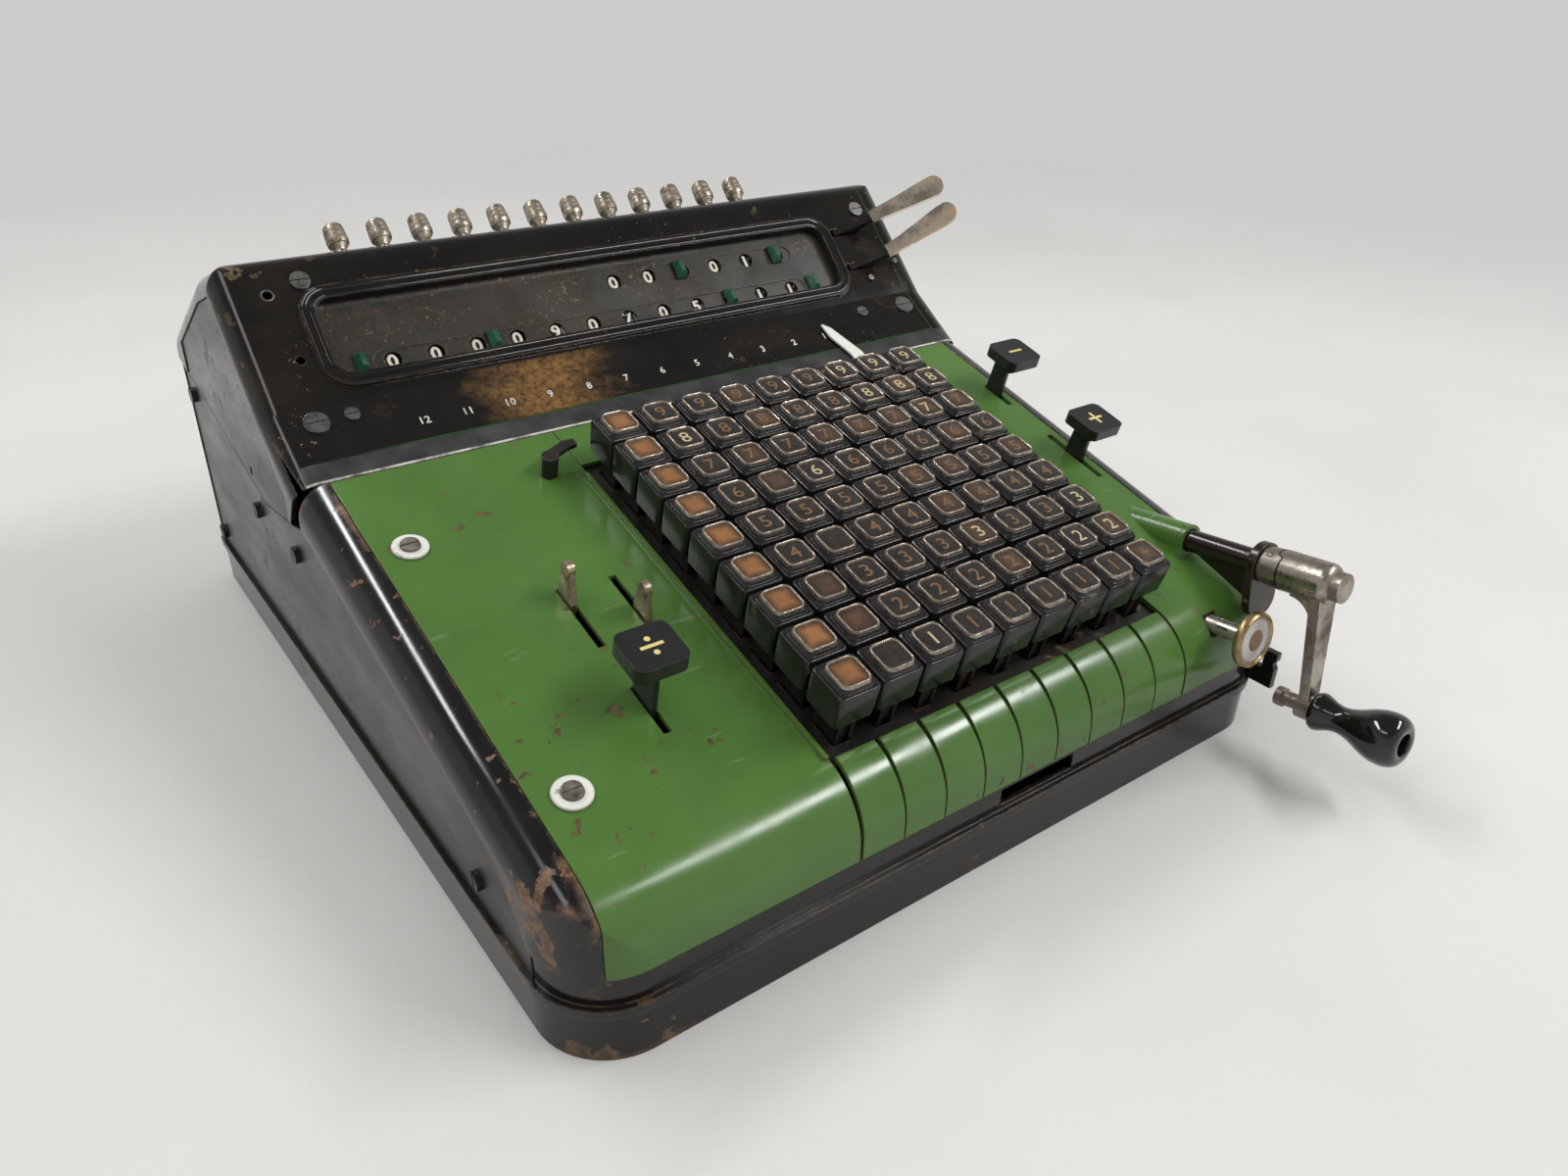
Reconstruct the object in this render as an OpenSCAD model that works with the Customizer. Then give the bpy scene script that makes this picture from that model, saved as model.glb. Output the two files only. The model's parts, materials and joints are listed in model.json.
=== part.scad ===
// Hand-cranked adding machine with a nine-column keyboard and a shifting register carriage.
// Millimetres. X runs to the operator's right, Y to the rear, Z up.
// The origin is the centre of the flat underside.

/* [Body] */
// Width of the body
body_w = 340; // [320:1:370]
// Depth of the body from the front skirt to the rear cover
body_d = 388; // [380:1:400]
// Thickness of the pressed steel sheet
sheet_t = 2; // [1.5:0.1:2.4]
// Plan radius of the two front corners
front_corner_r = 27; // [20:1:32]
// Plan radius of the two rear corners
rear_corner_r = 9; // [6:1:12]
// Height of the skirt of the base pan up to the bead
skirt_h = 19; // [15:1:22]
// Height of the half-round bead above the skirt
bead_h = 3.5; // [2.5:0.5:4.5]
// How far the bead stands out from the skirt
bead_out = 1.4; // [1:0.1:2]
// Height of the front edge of the green cover
front_edge_z = 33.8; // [31:0.2:37]

/* [Key deck] */
// Height at which the plane of the deck meets the front face
deck_z0 = 59.3; // [56:0.1:63]
// Slope of the deck in degrees
deck_slope = 14.9; // [13:0.1:17]
// Distance from the front face to the rear end of the deck
deck_end_y = 208; // [204:1:212]
// Radius of the rounded front of the deck
deck_front_r = 25; // [18:1:30]
// Width of the black border on each side of the deck
border_w = 13.5; // [11:0.5:16]
// Height of the border's side, measured down from the deck
border_h = 16; // [13:0.5:20]

/* [Keyboard] */
// Number of key columns
key_cols = 9; // [7:1:9]
// Number of keys in a column
key_rows = 9; // [7:1:9]
// Distance between two columns
key_pitch_x = 18.5; // [18.2:0.1:18.8]
// Distance between two rows along the deck
key_pitch_y = 18.7; // [18.4:0.1:19]
// Place of the key field's middle to the right of the body's middle
key_mid_x = 20; // [16:1:22]
// Distance of the first row from the front face along the deck
key_first_y = 30.6; // [30:0.2:32]
// Width of a key cap
key_cap_w = 17.3; // [16.8:0.1:17.6]
// Height of a key top above the deck
key_top_h = 26.4; // [25:0.2:28]
// Height of the skirt of a key cap
key_skirt_h = 15.5; // [13:0.5:17]
// Width of the raised frame round a key's label
key_rim_w = 12.6; // [11:0.2:13.4]
// Travel of a key
key_travel = 5; // [4:0.5:6]
// Width of a key stem
stem_w = 7.2; // [6:0.2:8]
// Length of a key stem along the deck
stem_l = 12.2; // [10:0.2:13]

/* [Carriage] */
// Angle of the face that holds the register windows
face_angle = 45; // [43:1:47]
// Length of that face up to the ridge
face_len = 66; // [64:1:68]
// Distance between two register dials
dial_pitch = 18.5; // [18.2:0.1:18.8]
// Place of the first dial from the body's middle
dial_first_x = -111.8; // [-113:0.2:-110]
// Number of result dials
result_dials = 12; // [12:1:12]
// Number of revolution counter dials, above the last result dials
counter_dials = 6; // [6:1:6]
// Height of the result window's middle on the face
lower_row_u = 15.5; // [14.5:0.5:16]
// Height of the counter window's middle on the face
upper_row_u = 34.4; // [34:0.2:36]
// Radius of a number drum
drum_r = 8.3; // [7.8:0.1:8.5]
// Length of a number drum
drum_l = 9.5; // [8.5:0.5:10]
// Depth of the window plate below the face
recess_depth = 3.3; // [2.8:0.1:3.8]
// Diameter of a dial spindle
spindle_d = 4; // [3.6:0.1:4.6]
// Diameter of a knurled knob
knob_d = 8.4; // [7.6:0.2:9.4]
// Length of the knurled part of a knob
knob_l = 8.5; // [7:0.5:12]
// Diameter of the rods the carriage runs on
rail_d = 8; // [7:0.5:9]

/* [Crank] */
// Distance of the crank shaft from the right side of the body
crank_inset = 22.8; // [21:0.2:25]
// Height of the shaft at the front face
crank_z = 80; // [77:0.5:83]
// Upward tilt of the shaft towards the operator
crank_tilt = 7; // [6:0.5:8]
// Diameter of the shaft
shaft_d = 6.4; // [5.8:0.2:7]
// Length of the crank arm between its two axes
crank_arm_l = 55; // [52:1:58]
// Length of the turned handle
handle_l = 37; // [33:1:42]
// Largest diameter of the handle
handle_d = 22; // [19:1:24]

/* [Levers] */
// Depth of the lever shafts below the deck
lever_depth = 45; // [42:1:48]
// Diameter of the lever shafts
lever_shaft_d = 6; // [5:0.5:7]
// Thickness of the lever blades
blade_t = 2; // [1.6:0.1:2.2]
// Width and depth of a square lever key
lever_cap_w = 20; // [18:0.5:21]

/* [Fits] */
// Gap between fixed pieces that lie side by side
seam = 0.3; // [0.2:0.05:0.4]
// Radial clearance of a shaft in its bearing
running = 0.06; // [0.03:0.01:0.09]
// Gap round a blade in its slot
slot_gap = 0.5; // [0.4:0.1:0.7]
// Gap between the carriage and the body
carriage_gap = 0.5; // [0.4:0.1:0.7]

/* [Hidden] */
$fn = 64;
half_w = body_w / 2;
crank_x = half_w - crank_inset;
big = 600;
eps = 0.01;
deck_tan = tan(deck_slope);
hem_drop = border_h / cos(deck_slope);
green_half = half_w - border_w;
field_w = key_cols * key_pitch_x;
field_x0 = key_mid_x - field_w / 2;
field_x1 = key_mid_x + field_w / 2;
rim_x0 = field_x0 - 1;
rim_x1 = field_x1 + 1;
comb_top_y = key_first_y - key_cap_w / 2 - 3;
key_last_y = key_first_y + (key_rows - 1) * key_pitch_y;
field_end_y = key_last_y + key_cap_w / 2 + 1.5;
guide_t = 2.5;
guide_drop = sheet_t + seam;
guide_lap = 4;
groove_w = 1.7;
arch_r = 26;
// Side profile of the carriage, from the front lip over the ridge to the rear
lip_y = deck_end_y + carriage_gap;
lip_z = deck_z(lip_y);
lip_depth = 29.5;
lip_rise = 19.2;
lip_angle = atan2(lip_rise, lip_depth);
mitre_angle = (lip_angle + face_angle) / 2;
face_y = lip_y + lip_depth;
face_z = lip_z + lip_rise;
ridge_y = face_y + face_len * cos(face_angle);
ridge_z = face_z + face_len * sin(face_angle);
ridge_r = 10;
shoulder_y = ridge_y + 30.331;
shoulder_z = ridge_z - 10.5;
rear_top_y = body_d - 7;
rear_top_z = 134;
rear_low_z = 116;
rear_foot_y = body_d - 2.5;
lip_sheet_z = sheet_t / cos(lip_angle);
dip_y = lip_y + 53.5;
dip_z = 88;
dip_front_y = lip_y + 15;
dip_front_z = dip_z + 6.5;
carriage_end_r = 10;
end_plate_t = 1.6;
// Dials
axis_depth = recess_depth + 1.2 + 0.5 + drum_r;
bar_t = 3;
bar_top = drum_r + 0.2;
bar_low = -14;
web_depth = axis_depth - bar_low - 3;
bar_s = [-12, (upper_row_u - lower_row_u) / 2, upper_row_u - lower_row_u + 11];
counter_from = result_dials - counter_dials;
knob_base_s = face_len - lower_row_u + 2;
spindle_tail = -14.5;
neck_l = 6.5;
neck_d = 6;
window_t = 1.2;
bezel_x0 = dial_first_x - 30.2;
bezel_x1 = dial_first_x + (result_dials - 1) * dial_pitch + 34.3;
bezel_u0 = 4.5;
bezel_u1 = 50.5;
bezel_w = 6;
bezel_rise = 1.6;
bezel_r = 13;
slot_h = 8.8;
slot_recess = 0.5;
window_d = 7.4;
// Carriage chassis
web_t = 5;
web_x = [25 - half_w, key_mid_x + 30];
rail_y = [lip_y + 41.5, body_d - 30];
rail_z = [dip_z - 10, dip_z + 8];
frame_t = 3;
frame_z = sheet_t + 0.1;
frame_x = half_w - 10;
bed_z = 64;
// Levers: place along X, slot ends and blade ends along the deck
lever_a = [64.2 - half_w, 95.8, 127.7, 116, 127];
lever_b = [84.7 - half_w, 98.2, 126.4, 99, 109];
function_lever = [64.6 - half_w, 52.5, 75, 61.5, 74.3];
shift_lever = [half_w - 18.5, 157, 175, 164.5, 174];
add_lever = [half_w - 18.5, 95.5, 130, 108, 118];
all_levers = [lever_a, lever_b, function_lever, shift_lever, add_lever];
lever_eye_d = lever_shaft_d + 6;
inner_plate_x = [rim_x0 - 1.75, rim_x1 + 2.75];
// Release arm at the rear left corner of the keys
arm_x = rim_x0 - 14.45;
arm_y = deck_end_y - 18.5;
arm_post_h = 9;
// Clearing levers
clearing_x = bezel_x1 + 10;
clearing_u = [19, 39.5];
clearing_bend = [6, 1.5];
clearing_blade_t = 3;
clearing_pin_depth = 7;
clearing_pin_d = 4;
finger_l = 35.5;
finger_rise = 32;
finger_end_r = 4.3;
// Push button beside the crank
button_x = crank_x - 21.2;
button_z = 57;
button_d = 22;
button_shaft_d = 7;
button_travel = 5;
sleeve_d = 9.6;
hub_d = 16.6;
hub_end = 28.3;
arm_t = 6;
arm_s = 20.5;
arm_back_s = 21.4;
arm_fillet_r = 9.5;

// ---------- shared geometry ----------

// Height of the deck's upper face at a distance y from the front face
function deck_z(y) = deck_z0 + y * deck_tan;

// Highest point of a fixed cover under the rear part of the carriage
function under_carriage(y) = dip_z - carriage_gap
    + (y - dip_y) * (rear_low_z - dip_z) / (rear_foot_y - dip_y);

// Unit vector from a to b
function unit(a, b) = (b - a) / norm(b - a);

// Corner i of a closed outline, moved inwards by t (outline runs clockwise seen along +Z)
function inset_corner(p, i, t) =
    let (n = len(p), a = p[(i + n - 1) % n], b = p[i], c = p[(i + 1) % n],
        u = unit(a, b), v = unit(b, c), w = [u[1] + v[1], -u[0] - v[0]])
    b + w * (t / (1 + u * v));

function inset_outline(p, t) = [for (i = [0 : len(p) - 1]) inset_corner(p, i, t)];

// A closed outline with its corners rounded to true arcs
module rounded_outline(p, radii) {
    n = len(p);
    cuts = [for (i = [0 : n - 1])
        let (b = p[i], u = unit(b, p[(i + n - 1) % n]), v = unit(b, p[(i + 1) % n]),
            half = acos(u * v) / 2, d = radii[i] / tan(half))
        each (radii[i] > 0 ? [b + u * d, b + v * d] : [b])];
    polygon(cuts);
    for (i = [0 : n - 1])
        if (radii[i] > 0)
            let (b = p[i], u = unit(b, p[(i + n - 1) % n]), v = unit(b, p[(i + 1) % n]),
                half = acos(u * v) / 2, m = (u + v) / norm(u + v))
            translate(b + m * (radii[i] / sin(half))) circle(r = radii[i]);
}

// A rectangle with rounded corners, centred on the origin
module rounded_rect(w, l, r) {
    square([w - 2 * r, l], center = true);
    square([w, l - 2 * r], center = true);
    for (x = [-1, 1], y = [-1, 1])
        translate([x * (w / 2 - r), y * (l / 2 - r)]) circle(r = r);
}

// Places children with y measured from the front face
module from_front() {
    translate([0, -body_d / 2, 0]) children();
}

// Places children in the deck's frame: Y along the slope, Z out of the deck
module on_deck() {
    from_front() translate([0, 0, deck_z0]) rotate([deck_slope, 0, 0]) children();
}

// Places children in the face's frame: Y up the face, Z out of the face
module on_face() {
    from_front() translate([0, face_y, face_z]) rotate([face_angle, 0, 0]) children();
}

// Places children on a dial's axis, Z towards the knob, with the result drum's middle at zero
module on_dial(x) {
    on_face() translate([x, lower_row_u, -axis_depth]) rotate([-90, 0, 0]) children();
}

// Places children on the crank's axis, Z towards the operator and Y up
module on_crank() {
    from_front() translate([crank_x, 0, crank_z]) rotate([90 - crank_tilt, 0, 0]) children();
}

// Extrudes a Y-Z outline along X between x0 and x1
module along_x(x0, x1) {
    translate([x0, 0, 0]) rotate([90, 0, 90]) linear_extrude(x1 - x0) children();
}

// Plan of the body, grown by g
module body_plan(g) {
    w = half_w + g;
    rounded_outline([[-w, -g], [-w, body_d + g], [w, body_d + g], [w, -g]],
        [front_corner_r + g, rear_corner_r + g, rear_corner_r + g, front_corner_r + g]);
}

// Solid of the deck with its rounded front and shoulders, shrunk by t
module deck_solid(t) {
    r = deck_front_r - t;
    side_r = border_w - 1 - t;
    intersection() {
        along_x(-half_w + t, half_w - t)
            rounded_outline([[t, 0], [t, deck_z(t) - t / cos(deck_slope)],
                [body_d, deck_z(body_d) - t / cos(deck_slope)], [body_d, 0]], [0, r, 0, 0]);
        linear_extrude(big) body_plan(-t);
        translate([0, 0, deck_z0]) rotate([deck_slope, 0, 0])
            rotate([90, 0, 0]) translate([0, 0, -big]) linear_extrude(2 * big)
            rounded_outline([[-half_w + t, -big], [-half_w + t, -t],
                [half_w - t, -t], [half_w - t, -big]], [0, side_r, side_r, 0]);
    }
}

// Sheet of the deck between x0 and x1, above the hem line and the front edge
module deck_shell(x0, x1) {
    difference() {
        intersection() {
            deck_solid(0);
            along_x(x0, x1) polygon([[-5, front_edge_z], [-5, 200], [deck_end_y, 200],
                [deck_end_y, deck_z(deck_end_y) - hem_drop], [45, deck_z(45) - hem_drop],
                [front_corner_r, front_edge_z]]);
        }
        deck_solid(sheet_t);
    }
}

// ---------- fixed body ----------

module base_pan() {
    color("#17181a") from_front() difference() {
        union() {
            linear_extrude(skirt_h) body_plan(0);
            translate([0, 0, skirt_h]) linear_extrude(bead_h) body_plan(bead_out);
            translate([0, 0, skirt_h + bead_h]) intersection() {
                linear_extrude(front_edge_z - seam - skirt_h - bead_h) body_plan(-1);
                translate([-half_w, -1, -1]) cube([body_w, front_corner_r, 50]);
            }
        }
        translate([0, 0, sheet_t]) linear_extrude(60) body_plan(-sheet_t - 1);
        translate([3, -2, skirt_h + bead_h + 2]) cube([38, 6, 7]);
    }
    color("#17181a") rest_hook();
}

// Catch for the crank's rest pin on the right front corner
module rest_hook() {
    from_front() translate([half_w - 9, 0, 26]) difference() {
        union() {
            translate([-1.5, -6.5, -7]) cube([3, 15, 8]);
            translate([-1.5, -6.5, -7]) cube([3, 6, 17]);
        }
        translate([-3, -8, 4.5]) rotate([0, 90, 0]) cylinder(d = 5, h = 6);
    }
}

// Outline of a side cover in Y-Z
function side_outline() = [[front_corner_r, skirt_h + bead_h + seam],
    [front_corner_r, front_edge_z - seam], [45, deck_z(45) - hem_drop - seam],
    [deck_end_y, deck_z(deck_end_y) - hem_drop - seam],
    [dip_front_y, dip_front_z - carriage_gap], [dip_y, dip_z - carriage_gap],
    [body_d - rear_corner_r, under_carriage(body_d - rear_corner_r)],
    [body_d - rear_corner_r, skirt_h + bead_h + seam]];

module side_cover() {
    side_x = half_w - 0.6;
    along_x(side_x - sheet_t, side_x) polygon(side_outline());
}

module left_side_cover() {
    color("#34363a") from_front() mirror([1, 0, 0]) side_cover();
}

module right_side_cover() {
    color("#34363a") from_front() side_cover();
}

module rear_cover() {
    z0 = skirt_h + bead_h + seam;
    y0 = body_d - rear_corner_r + seam;
    color("#26282b") from_front() intersection() {
        linear_extrude(big) difference() {
            body_plan(0);
            body_plan(-sheet_t);
        }
        along_x(-half_w - 1, half_w + 1) polygon([[y0, z0], [y0, under_carriage(y0)],
            [body_d + 5, under_carriage(body_d + 5)], [body_d + 5, z0]]);
    }
}

module border_rails() {
    color("#101112") from_front() difference() {
        union() {
            deck_shell(-half_w - 1, -green_half - seam);
            deck_shell(green_half + seam, half_w + 1);
        }
    }
}

// A slot through the deck's sheet for a lever
module lever_slot(l) {
    on_deck() translate([l[0] - blade_t / 2 - slot_gap, l[1], -20])
        cube([blade_t + 2 * slot_gap, l[2] - l[1], 30]);
}

module left_cover_plate() {
    color("#58803f") difference() {
        union() {
            from_front() deck_shell(-green_half, rim_x0);
            // Raised rim beside the keys
            on_deck() translate([rim_x0 - 2.1, comb_top_y, -sheet_t / 2]) cube([2, 165, sheet_t / 2 + 1.4]);
        }
        for (l = [lever_a, lever_b, function_lever]) lever_slot(l);
        on_deck() translate([arm_x, arm_y, -10]) cylinder(d = 5, h = 20);
    }
}

// Raised fairing over the crank shaft, cut by the deck
module fairing() {
    r = sleeve_d / 2 + 2;
    intersection() {
        on_crank() translate([0, 0, -78]) linear_extrude(40) {
            circle(r = r);
            polygon([[-0.8 * r, 0.3 * r], [0.8 * r, 0.3 * r], [r + 3, -13], [-r - 3, -13]]);
        }
        on_deck() translate([crank_x - 20, 0, -sheet_t / 2])
            cube([20 + green_half - crank_x, 140, 40]);
    }
}

module right_cover_plate() {
    color("#58803f") difference() {
        union() {
            from_front() deck_shell(rim_x0 + seam, green_half);
            fairing();
        }
        // Opening for the keys and the strips in front of them
        on_deck() translate([rim_x0 - 5, -80, -big / 2])
            cube([rim_x1 - rim_x0 + 5, 80 + field_end_y, big]);
        for (l = [shift_lever, add_lever]) lever_slot(l);
        on_crank() translate([0, 0, -120]) cylinder(d = sleeve_d + 2 * seam, h = 130);
        button_place() translate([-button_shaft_d / 2 - 0.5, -button_shaft_d / 2 - 0.5, -20])
            cube([button_shaft_d + 1, button_shaft_d + 1, 30]);
    }
}

// Nine curved strips in front of the keys
module comb_strips() {
    color("#58803f") for (i = [0 : key_cols - 1])
        let (x0 = field_x0 + i * key_pitch_x) intersection() {
            from_front() deck_shell(x0 + seam, x0 + key_pitch_x - seam);
            on_deck() translate([0, 0, -90]) linear_extrude(120) polygon([[x0 + groove_w, comb_top_y],
                [x0, -10], [x0, -60], [x0 + key_pitch_x, -60], [x0 + key_pitch_x, comb_top_y]]);
        }
}

module key_guide_plate() {
    color("#202124") on_deck() difference() {
        translate([rim_x0 - guide_lap, comb_top_y - 2, -guide_drop - guide_t])
            cube([rim_x1 - rim_x0 + 2 * guide_lap, field_end_y - comb_top_y + 2 + guide_lap, guide_t]);
        for (c = [0 : key_cols - 1], r = [0 : key_rows - 1])
            translate([key_x(c), key_first_y + r * key_pitch_y, 0])
                cube([stem_w + 2 * slot_gap, stem_l + 2 * slot_gap, 30], center = true);
    }
}

// Outline of an inner frame plate in Y-Z, t below the covers
function frame_outline(y1) = [[16, frame_z], [16, 48], [24, deck_z(24) - 12],
    [min(y1, deck_end_y - 4), deck_z(min(y1, deck_end_y - 4)) - 12],
    [min(y1, dip_front_y), dip_z - 12], [y1, y1 > dip_y ? 104 : dip_z - 12], [y1, frame_z]];

module inner_frame() {
    color("#6b6d70") {
        from_front() difference() {
            union() {
                for (s = [-1, 1])
                    along_x(s * frame_x - frame_t / 2, s * frame_x + frame_t / 2)
                        polygon(frame_outline(body_d - 12));
                for (x = inner_plate_x)
                    along_x(x - frame_t / 2, x + frame_t / 2) polygon(frame_outline(deck_end_y - 8));
                // Bed under the carriage and cross plate behind the keys
                translate([-frame_x, deck_end_y - 8, bed_z - 3])
                    cube([2 * frame_x, body_d - 12 - deck_end_y + 8, 3]);
                translate([-frame_x, deck_end_y - 8, frame_z])
                    cube([2 * frame_x, 3, bed_z - frame_z]);
            }
            for (i = [0, 1]) translate([-big / 2, rail_y[i], rail_z[i]]) rotate([0, 90, 0])
                cylinder(d = rail_d + 2 * running, h = big);
            along_x(-big, big) for (y = [44, 150]) translate([y, 30]) circle(d = 24);
        }
        for (s = [[-frame_x, inner_plate_x[0]], [inner_plate_x[1], frame_x]])
            for (y = s[0] < 0 ? [lever_a_y(), function_y()] : [shift_y(), add_y()])
                on_deck() translate([s[0], y, -lever_depth]) rotate([0, 90, 0])
                    cylinder(d = lever_shaft_d, h = s[1] - s[0]);
    }
}

module carriage_rails() {
    color("#a9abad") from_front() for (i = [0, 1])
        translate([-frame_x - 5, rail_y[i], rail_z[i]]) rotate([0, 90, 0])
            cylinder(d = rail_d, h = 2 * frame_x + 10);
}

module crank_bearing() {
    color("#1a1413") on_crank() difference() {
        union() {
            translate([0, 0, -70]) cylinder(d = sleeve_d, h = 70 - 5.5);
            translate([0, 0, -5.5]) linear_extrude(3.5) rounded_outline(
                [[-9, -23], [-9, 8.8], [9, 8.8], [9, -23]], [8, 8.6, 8.6, 8]);
            // Web under the sleeve
            translate([1.5, 0, 0]) rotate([0, -90, 0]) linear_extrude(3)
                polygon([[-4, -3], [-4, -19], [-20, -11], [-32, -5.2], [-36, -3]]);
        }
        translate([0, 0, -80]) cylinder(d = shaft_d + 2 * running, h = 90);
    }
}

// Bent sheet pointer: flat on the deck, then parallel to the carriage's lip
module scale_pointer() {
    foot = [deck_end_y - 12, deck_z(deck_end_y - 12) + 0.2];
    bend = [deck_end_y - 2, deck_z(deck_end_y - 2) + 0.2];
    tip = [lip_y + 19.5, lip_z + 19.5 * tan(lip_angle) + 0.9];
    color("#e8e8e2") from_front() translate([field_x1, 0, 0]) intersection() {
        along_x(-15, 10) polygon([foot, bend, tip, tip + [0, 1], bend + [0, 1], foot + [0, 1]]);
        translate([0, deck_end_y, 0]) linear_extrude(big) polygon([[-2.25, -13], [3.75, -13],
            [2.25, 3], [-6.25, 17.5], [-10.75, 21], [-9.75, 13], [-4.75, 3]]);
    }
}

// Slotted screw head on the outside of a panel, axis along Z
module screw_head(d, h) {
    difference() {
        cylinder(d = d, h = h);
        translate([-d, -0.45, h - 0.7]) cube([2 * d, 0.9, 2]);
    }
}

module body_screws() {
    color("#8c8a85") {
        for (y = [44.5, 168.8]) on_deck() translate([25.9 - half_w, y, 0]) {
            cylinder(d = 13, h = 0.8);
            translate([0, 0, 0.8]) screw_head(7, 1.6);
        }
        for (s = [-1, 1], p = [[63, 34.5], [lip_y + 14.5, dip_z - 6.5], [lip_y + 69.5, dip_z - 9],
            [body_d - 19, under_carriage(body_d - 19) - 9.3], [body_d - 16.5, 30]])
            from_front() translate([s * (half_w - 0.6), p[0], p[1]]) rotate([0, s * 90, 0])
                screw_head(7, 2.2);
    }
}

// ---------- carriage ----------

// Outline of the carriage in Y-Z, over the ridge and back along the underside
function carriage_outline() = [[lip_y, lip_z], [face_y, face_z], [ridge_y, ridge_z],
    [shoulder_y, shoulder_z], [rear_top_y, rear_top_z], [rear_foot_y, rear_low_z],
    [dip_y, dip_z], [dip_front_y, dip_front_z]];

// Outline of the opening in each end of the carriage, g inside its edges
function end_outline(g) = inset_outline([[face_y - 24, 60], [face_y - 24, face_z - 24],
    [ridge_y, ridge_z], [shoulder_y, shoulder_z], [rear_top_y, rear_top_z], [rear_foot_y, 60]], g);

// Solid block of the carriage, shrunk by t
module carriage_block(t) {
    p = inset_outline(carriage_outline(), t);
    w = half_w - t;
    r = carriage_end_r - t;
    intersection() {
        along_x(-w, w) rounded_outline(p, [0, 0, ridge_r - t, 0, 4, 0, 0, 0]);
        // The face and the lip meet on their mitre plane
        union() {
            intersection() {
                translate([0, face_y, face_z]) rotate([face_angle, 0, 0]) end_rounding(w, r, t);
                translate([-big / 2, face_y, face_z]) rotate([mitre_angle, 0, 0])
                    translate([0, 0, -big / 2]) cube(big);
            }
            intersection() {
                translate([0, face_y, face_z]) rotate([lip_angle, 0, 0]) end_rounding(w, r, t);
                translate([-big / 2, face_y, face_z]) rotate([mitre_angle, 0, 0])
                    translate([0, -big, -big / 2]) cube(big);
            }
        }
        translate([0, ridge_y, ridge_z])
            rotate([atan2(shoulder_z - ridge_z, shoulder_y - ridge_y), 0, 0]) end_rounding(w, r, t);
        translate([0, shoulder_y, shoulder_z])
            rotate([atan2(rear_top_z - shoulder_z, rear_top_y - shoulder_y), 0, 0])
            end_rounding(w, r, t);
    }
}

// Long bar under a face whose two upper edges are rounded
module end_rounding(w, r, t) {
    rotate([90, 0, 0]) translate([0, 0, -big / 2]) linear_extrude(big)
        rounded_outline([[-w, -big], [-w, -t], [w, -t], [w, -big]], [0, r, r, 0]);
}

module carriage_cover() {
    color("#0e0f10") difference() {
        union() {
            from_front() difference() {
                carriage_block(0);
                carriage_block(sheet_t);
                // Open underside
                along_x(-half_w + sheet_t, half_w - sheet_t) polygon([[lip_y - 5, 60],
                    [lip_y - 5, lip_z - lip_sheet_z - 5 * tan(lip_angle)],
                    [lip_y, lip_z - lip_sheet_z], [face_y + 4, face_z - 4],
                    [shoulder_y, shoulder_z - 10], [rear_top_y - 8, rear_low_z + 8],
                    [rear_foot_y - sheet_t, rear_low_z + 2], [rear_foot_y - sheet_t, 60]]);
                // Open ends
                for (s = [-1, 1]) translate([s * half_w, 0, 0])
                    along_x(-2 * sheet_t, 2 * sheet_t) polygon(end_outline(carriage_end_r + 0.5));
            }
            // Double-bead frame round the window recess
            on_face() translate([(bezel_x0 + bezel_x1) / 2, (bezel_u0 + bezel_u1) / 2,
                -recess_depth]) linear_extrude(recess_depth + bezel_rise) difference() {
                    rounded_rect(bezel_x1 - bezel_x0, bezel_u1 - bezel_u0, bezel_r);
                    rounded_rect(bezel_x1 - bezel_x0 - 2 * bezel_w, bezel_u1 - bezel_u0 - 2 * bezel_w,
                        bezel_r - bezel_w);
                }
        }
        // Recess opening inside the frame
        on_face() translate([(bezel_x0 + bezel_x1) / 2, (bezel_u0 + bezel_u1) / 2, -20])
            linear_extrude(40) rounded_rect(bezel_x1 - bezel_x0 - 2 * bezel_w,
                bezel_u1 - bezel_u0 - 2 * bezel_w, bezel_r - bezel_w);
        for (i = [0 : result_dials - 1]) on_dial(dial_x(i)) translate([0, 0, knob_base_s - 14])
            cylinder(d = neck_d + 1, h = 30);
        for (u = clearing_u) clearing_slot(u);
        // Two plain holes left of the frame
        for (p = [[bezel_x0 - 8.7, 49.8], [bezel_x0 - 5.8, 20.1]])
            on_face() translate([p[0], p[1], -10]) cylinder(d = 3.6, h = 20);
    }
}

module window_plate() {
    color("#1d1e1f") on_face() difference() {
        translate([(bezel_x0 + bezel_x1) / 2, (bezel_u0 + bezel_u1) / 2,
            -recess_depth - window_t - 0.1])
            linear_extrude(window_t) rounded_rect(bezel_x1 - bezel_x0 - bezel_w + 4,
                bezel_u1 - bezel_u0 - bezel_w + 4, bezel_r - bezel_w / 2 + 2);
        window_row(0, result_dials - 1, lower_row_u);
        window_row(counter_from, result_dials - 1, upper_row_u);
    }
}

// Round-ended recess over the dials i to j, with a sight hole at each dial
module window_row(i, j, u) {
    translate([(dial_x(i) + dial_x(j)) / 2, u, -recess_depth - 0.1 - slot_recess])
        linear_extrude(5) rounded_rect(dial_x(j) - dial_x(i) + 16, slot_h, slot_h / 2 - 0.05);
    for (k = [i : j]) translate([dial_x(k), u, -20]) cylinder(d = window_d, h = 40);
}

module carriage_end_plates() {
    color("#2c2e31") from_front() for (s = [0, 1]) mirror([s, 0, 0])
        along_x(half_w - 0.6 - end_plate_t, half_w - 0.6) difference() {
            intersection() {
                polygon(end_outline(carriage_end_r + 0.5 + seam));
                polygon(carriage_outline());
            }
            translate([dip_y + 15, dip_z + 7]) square(3.4);
        }
}

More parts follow.
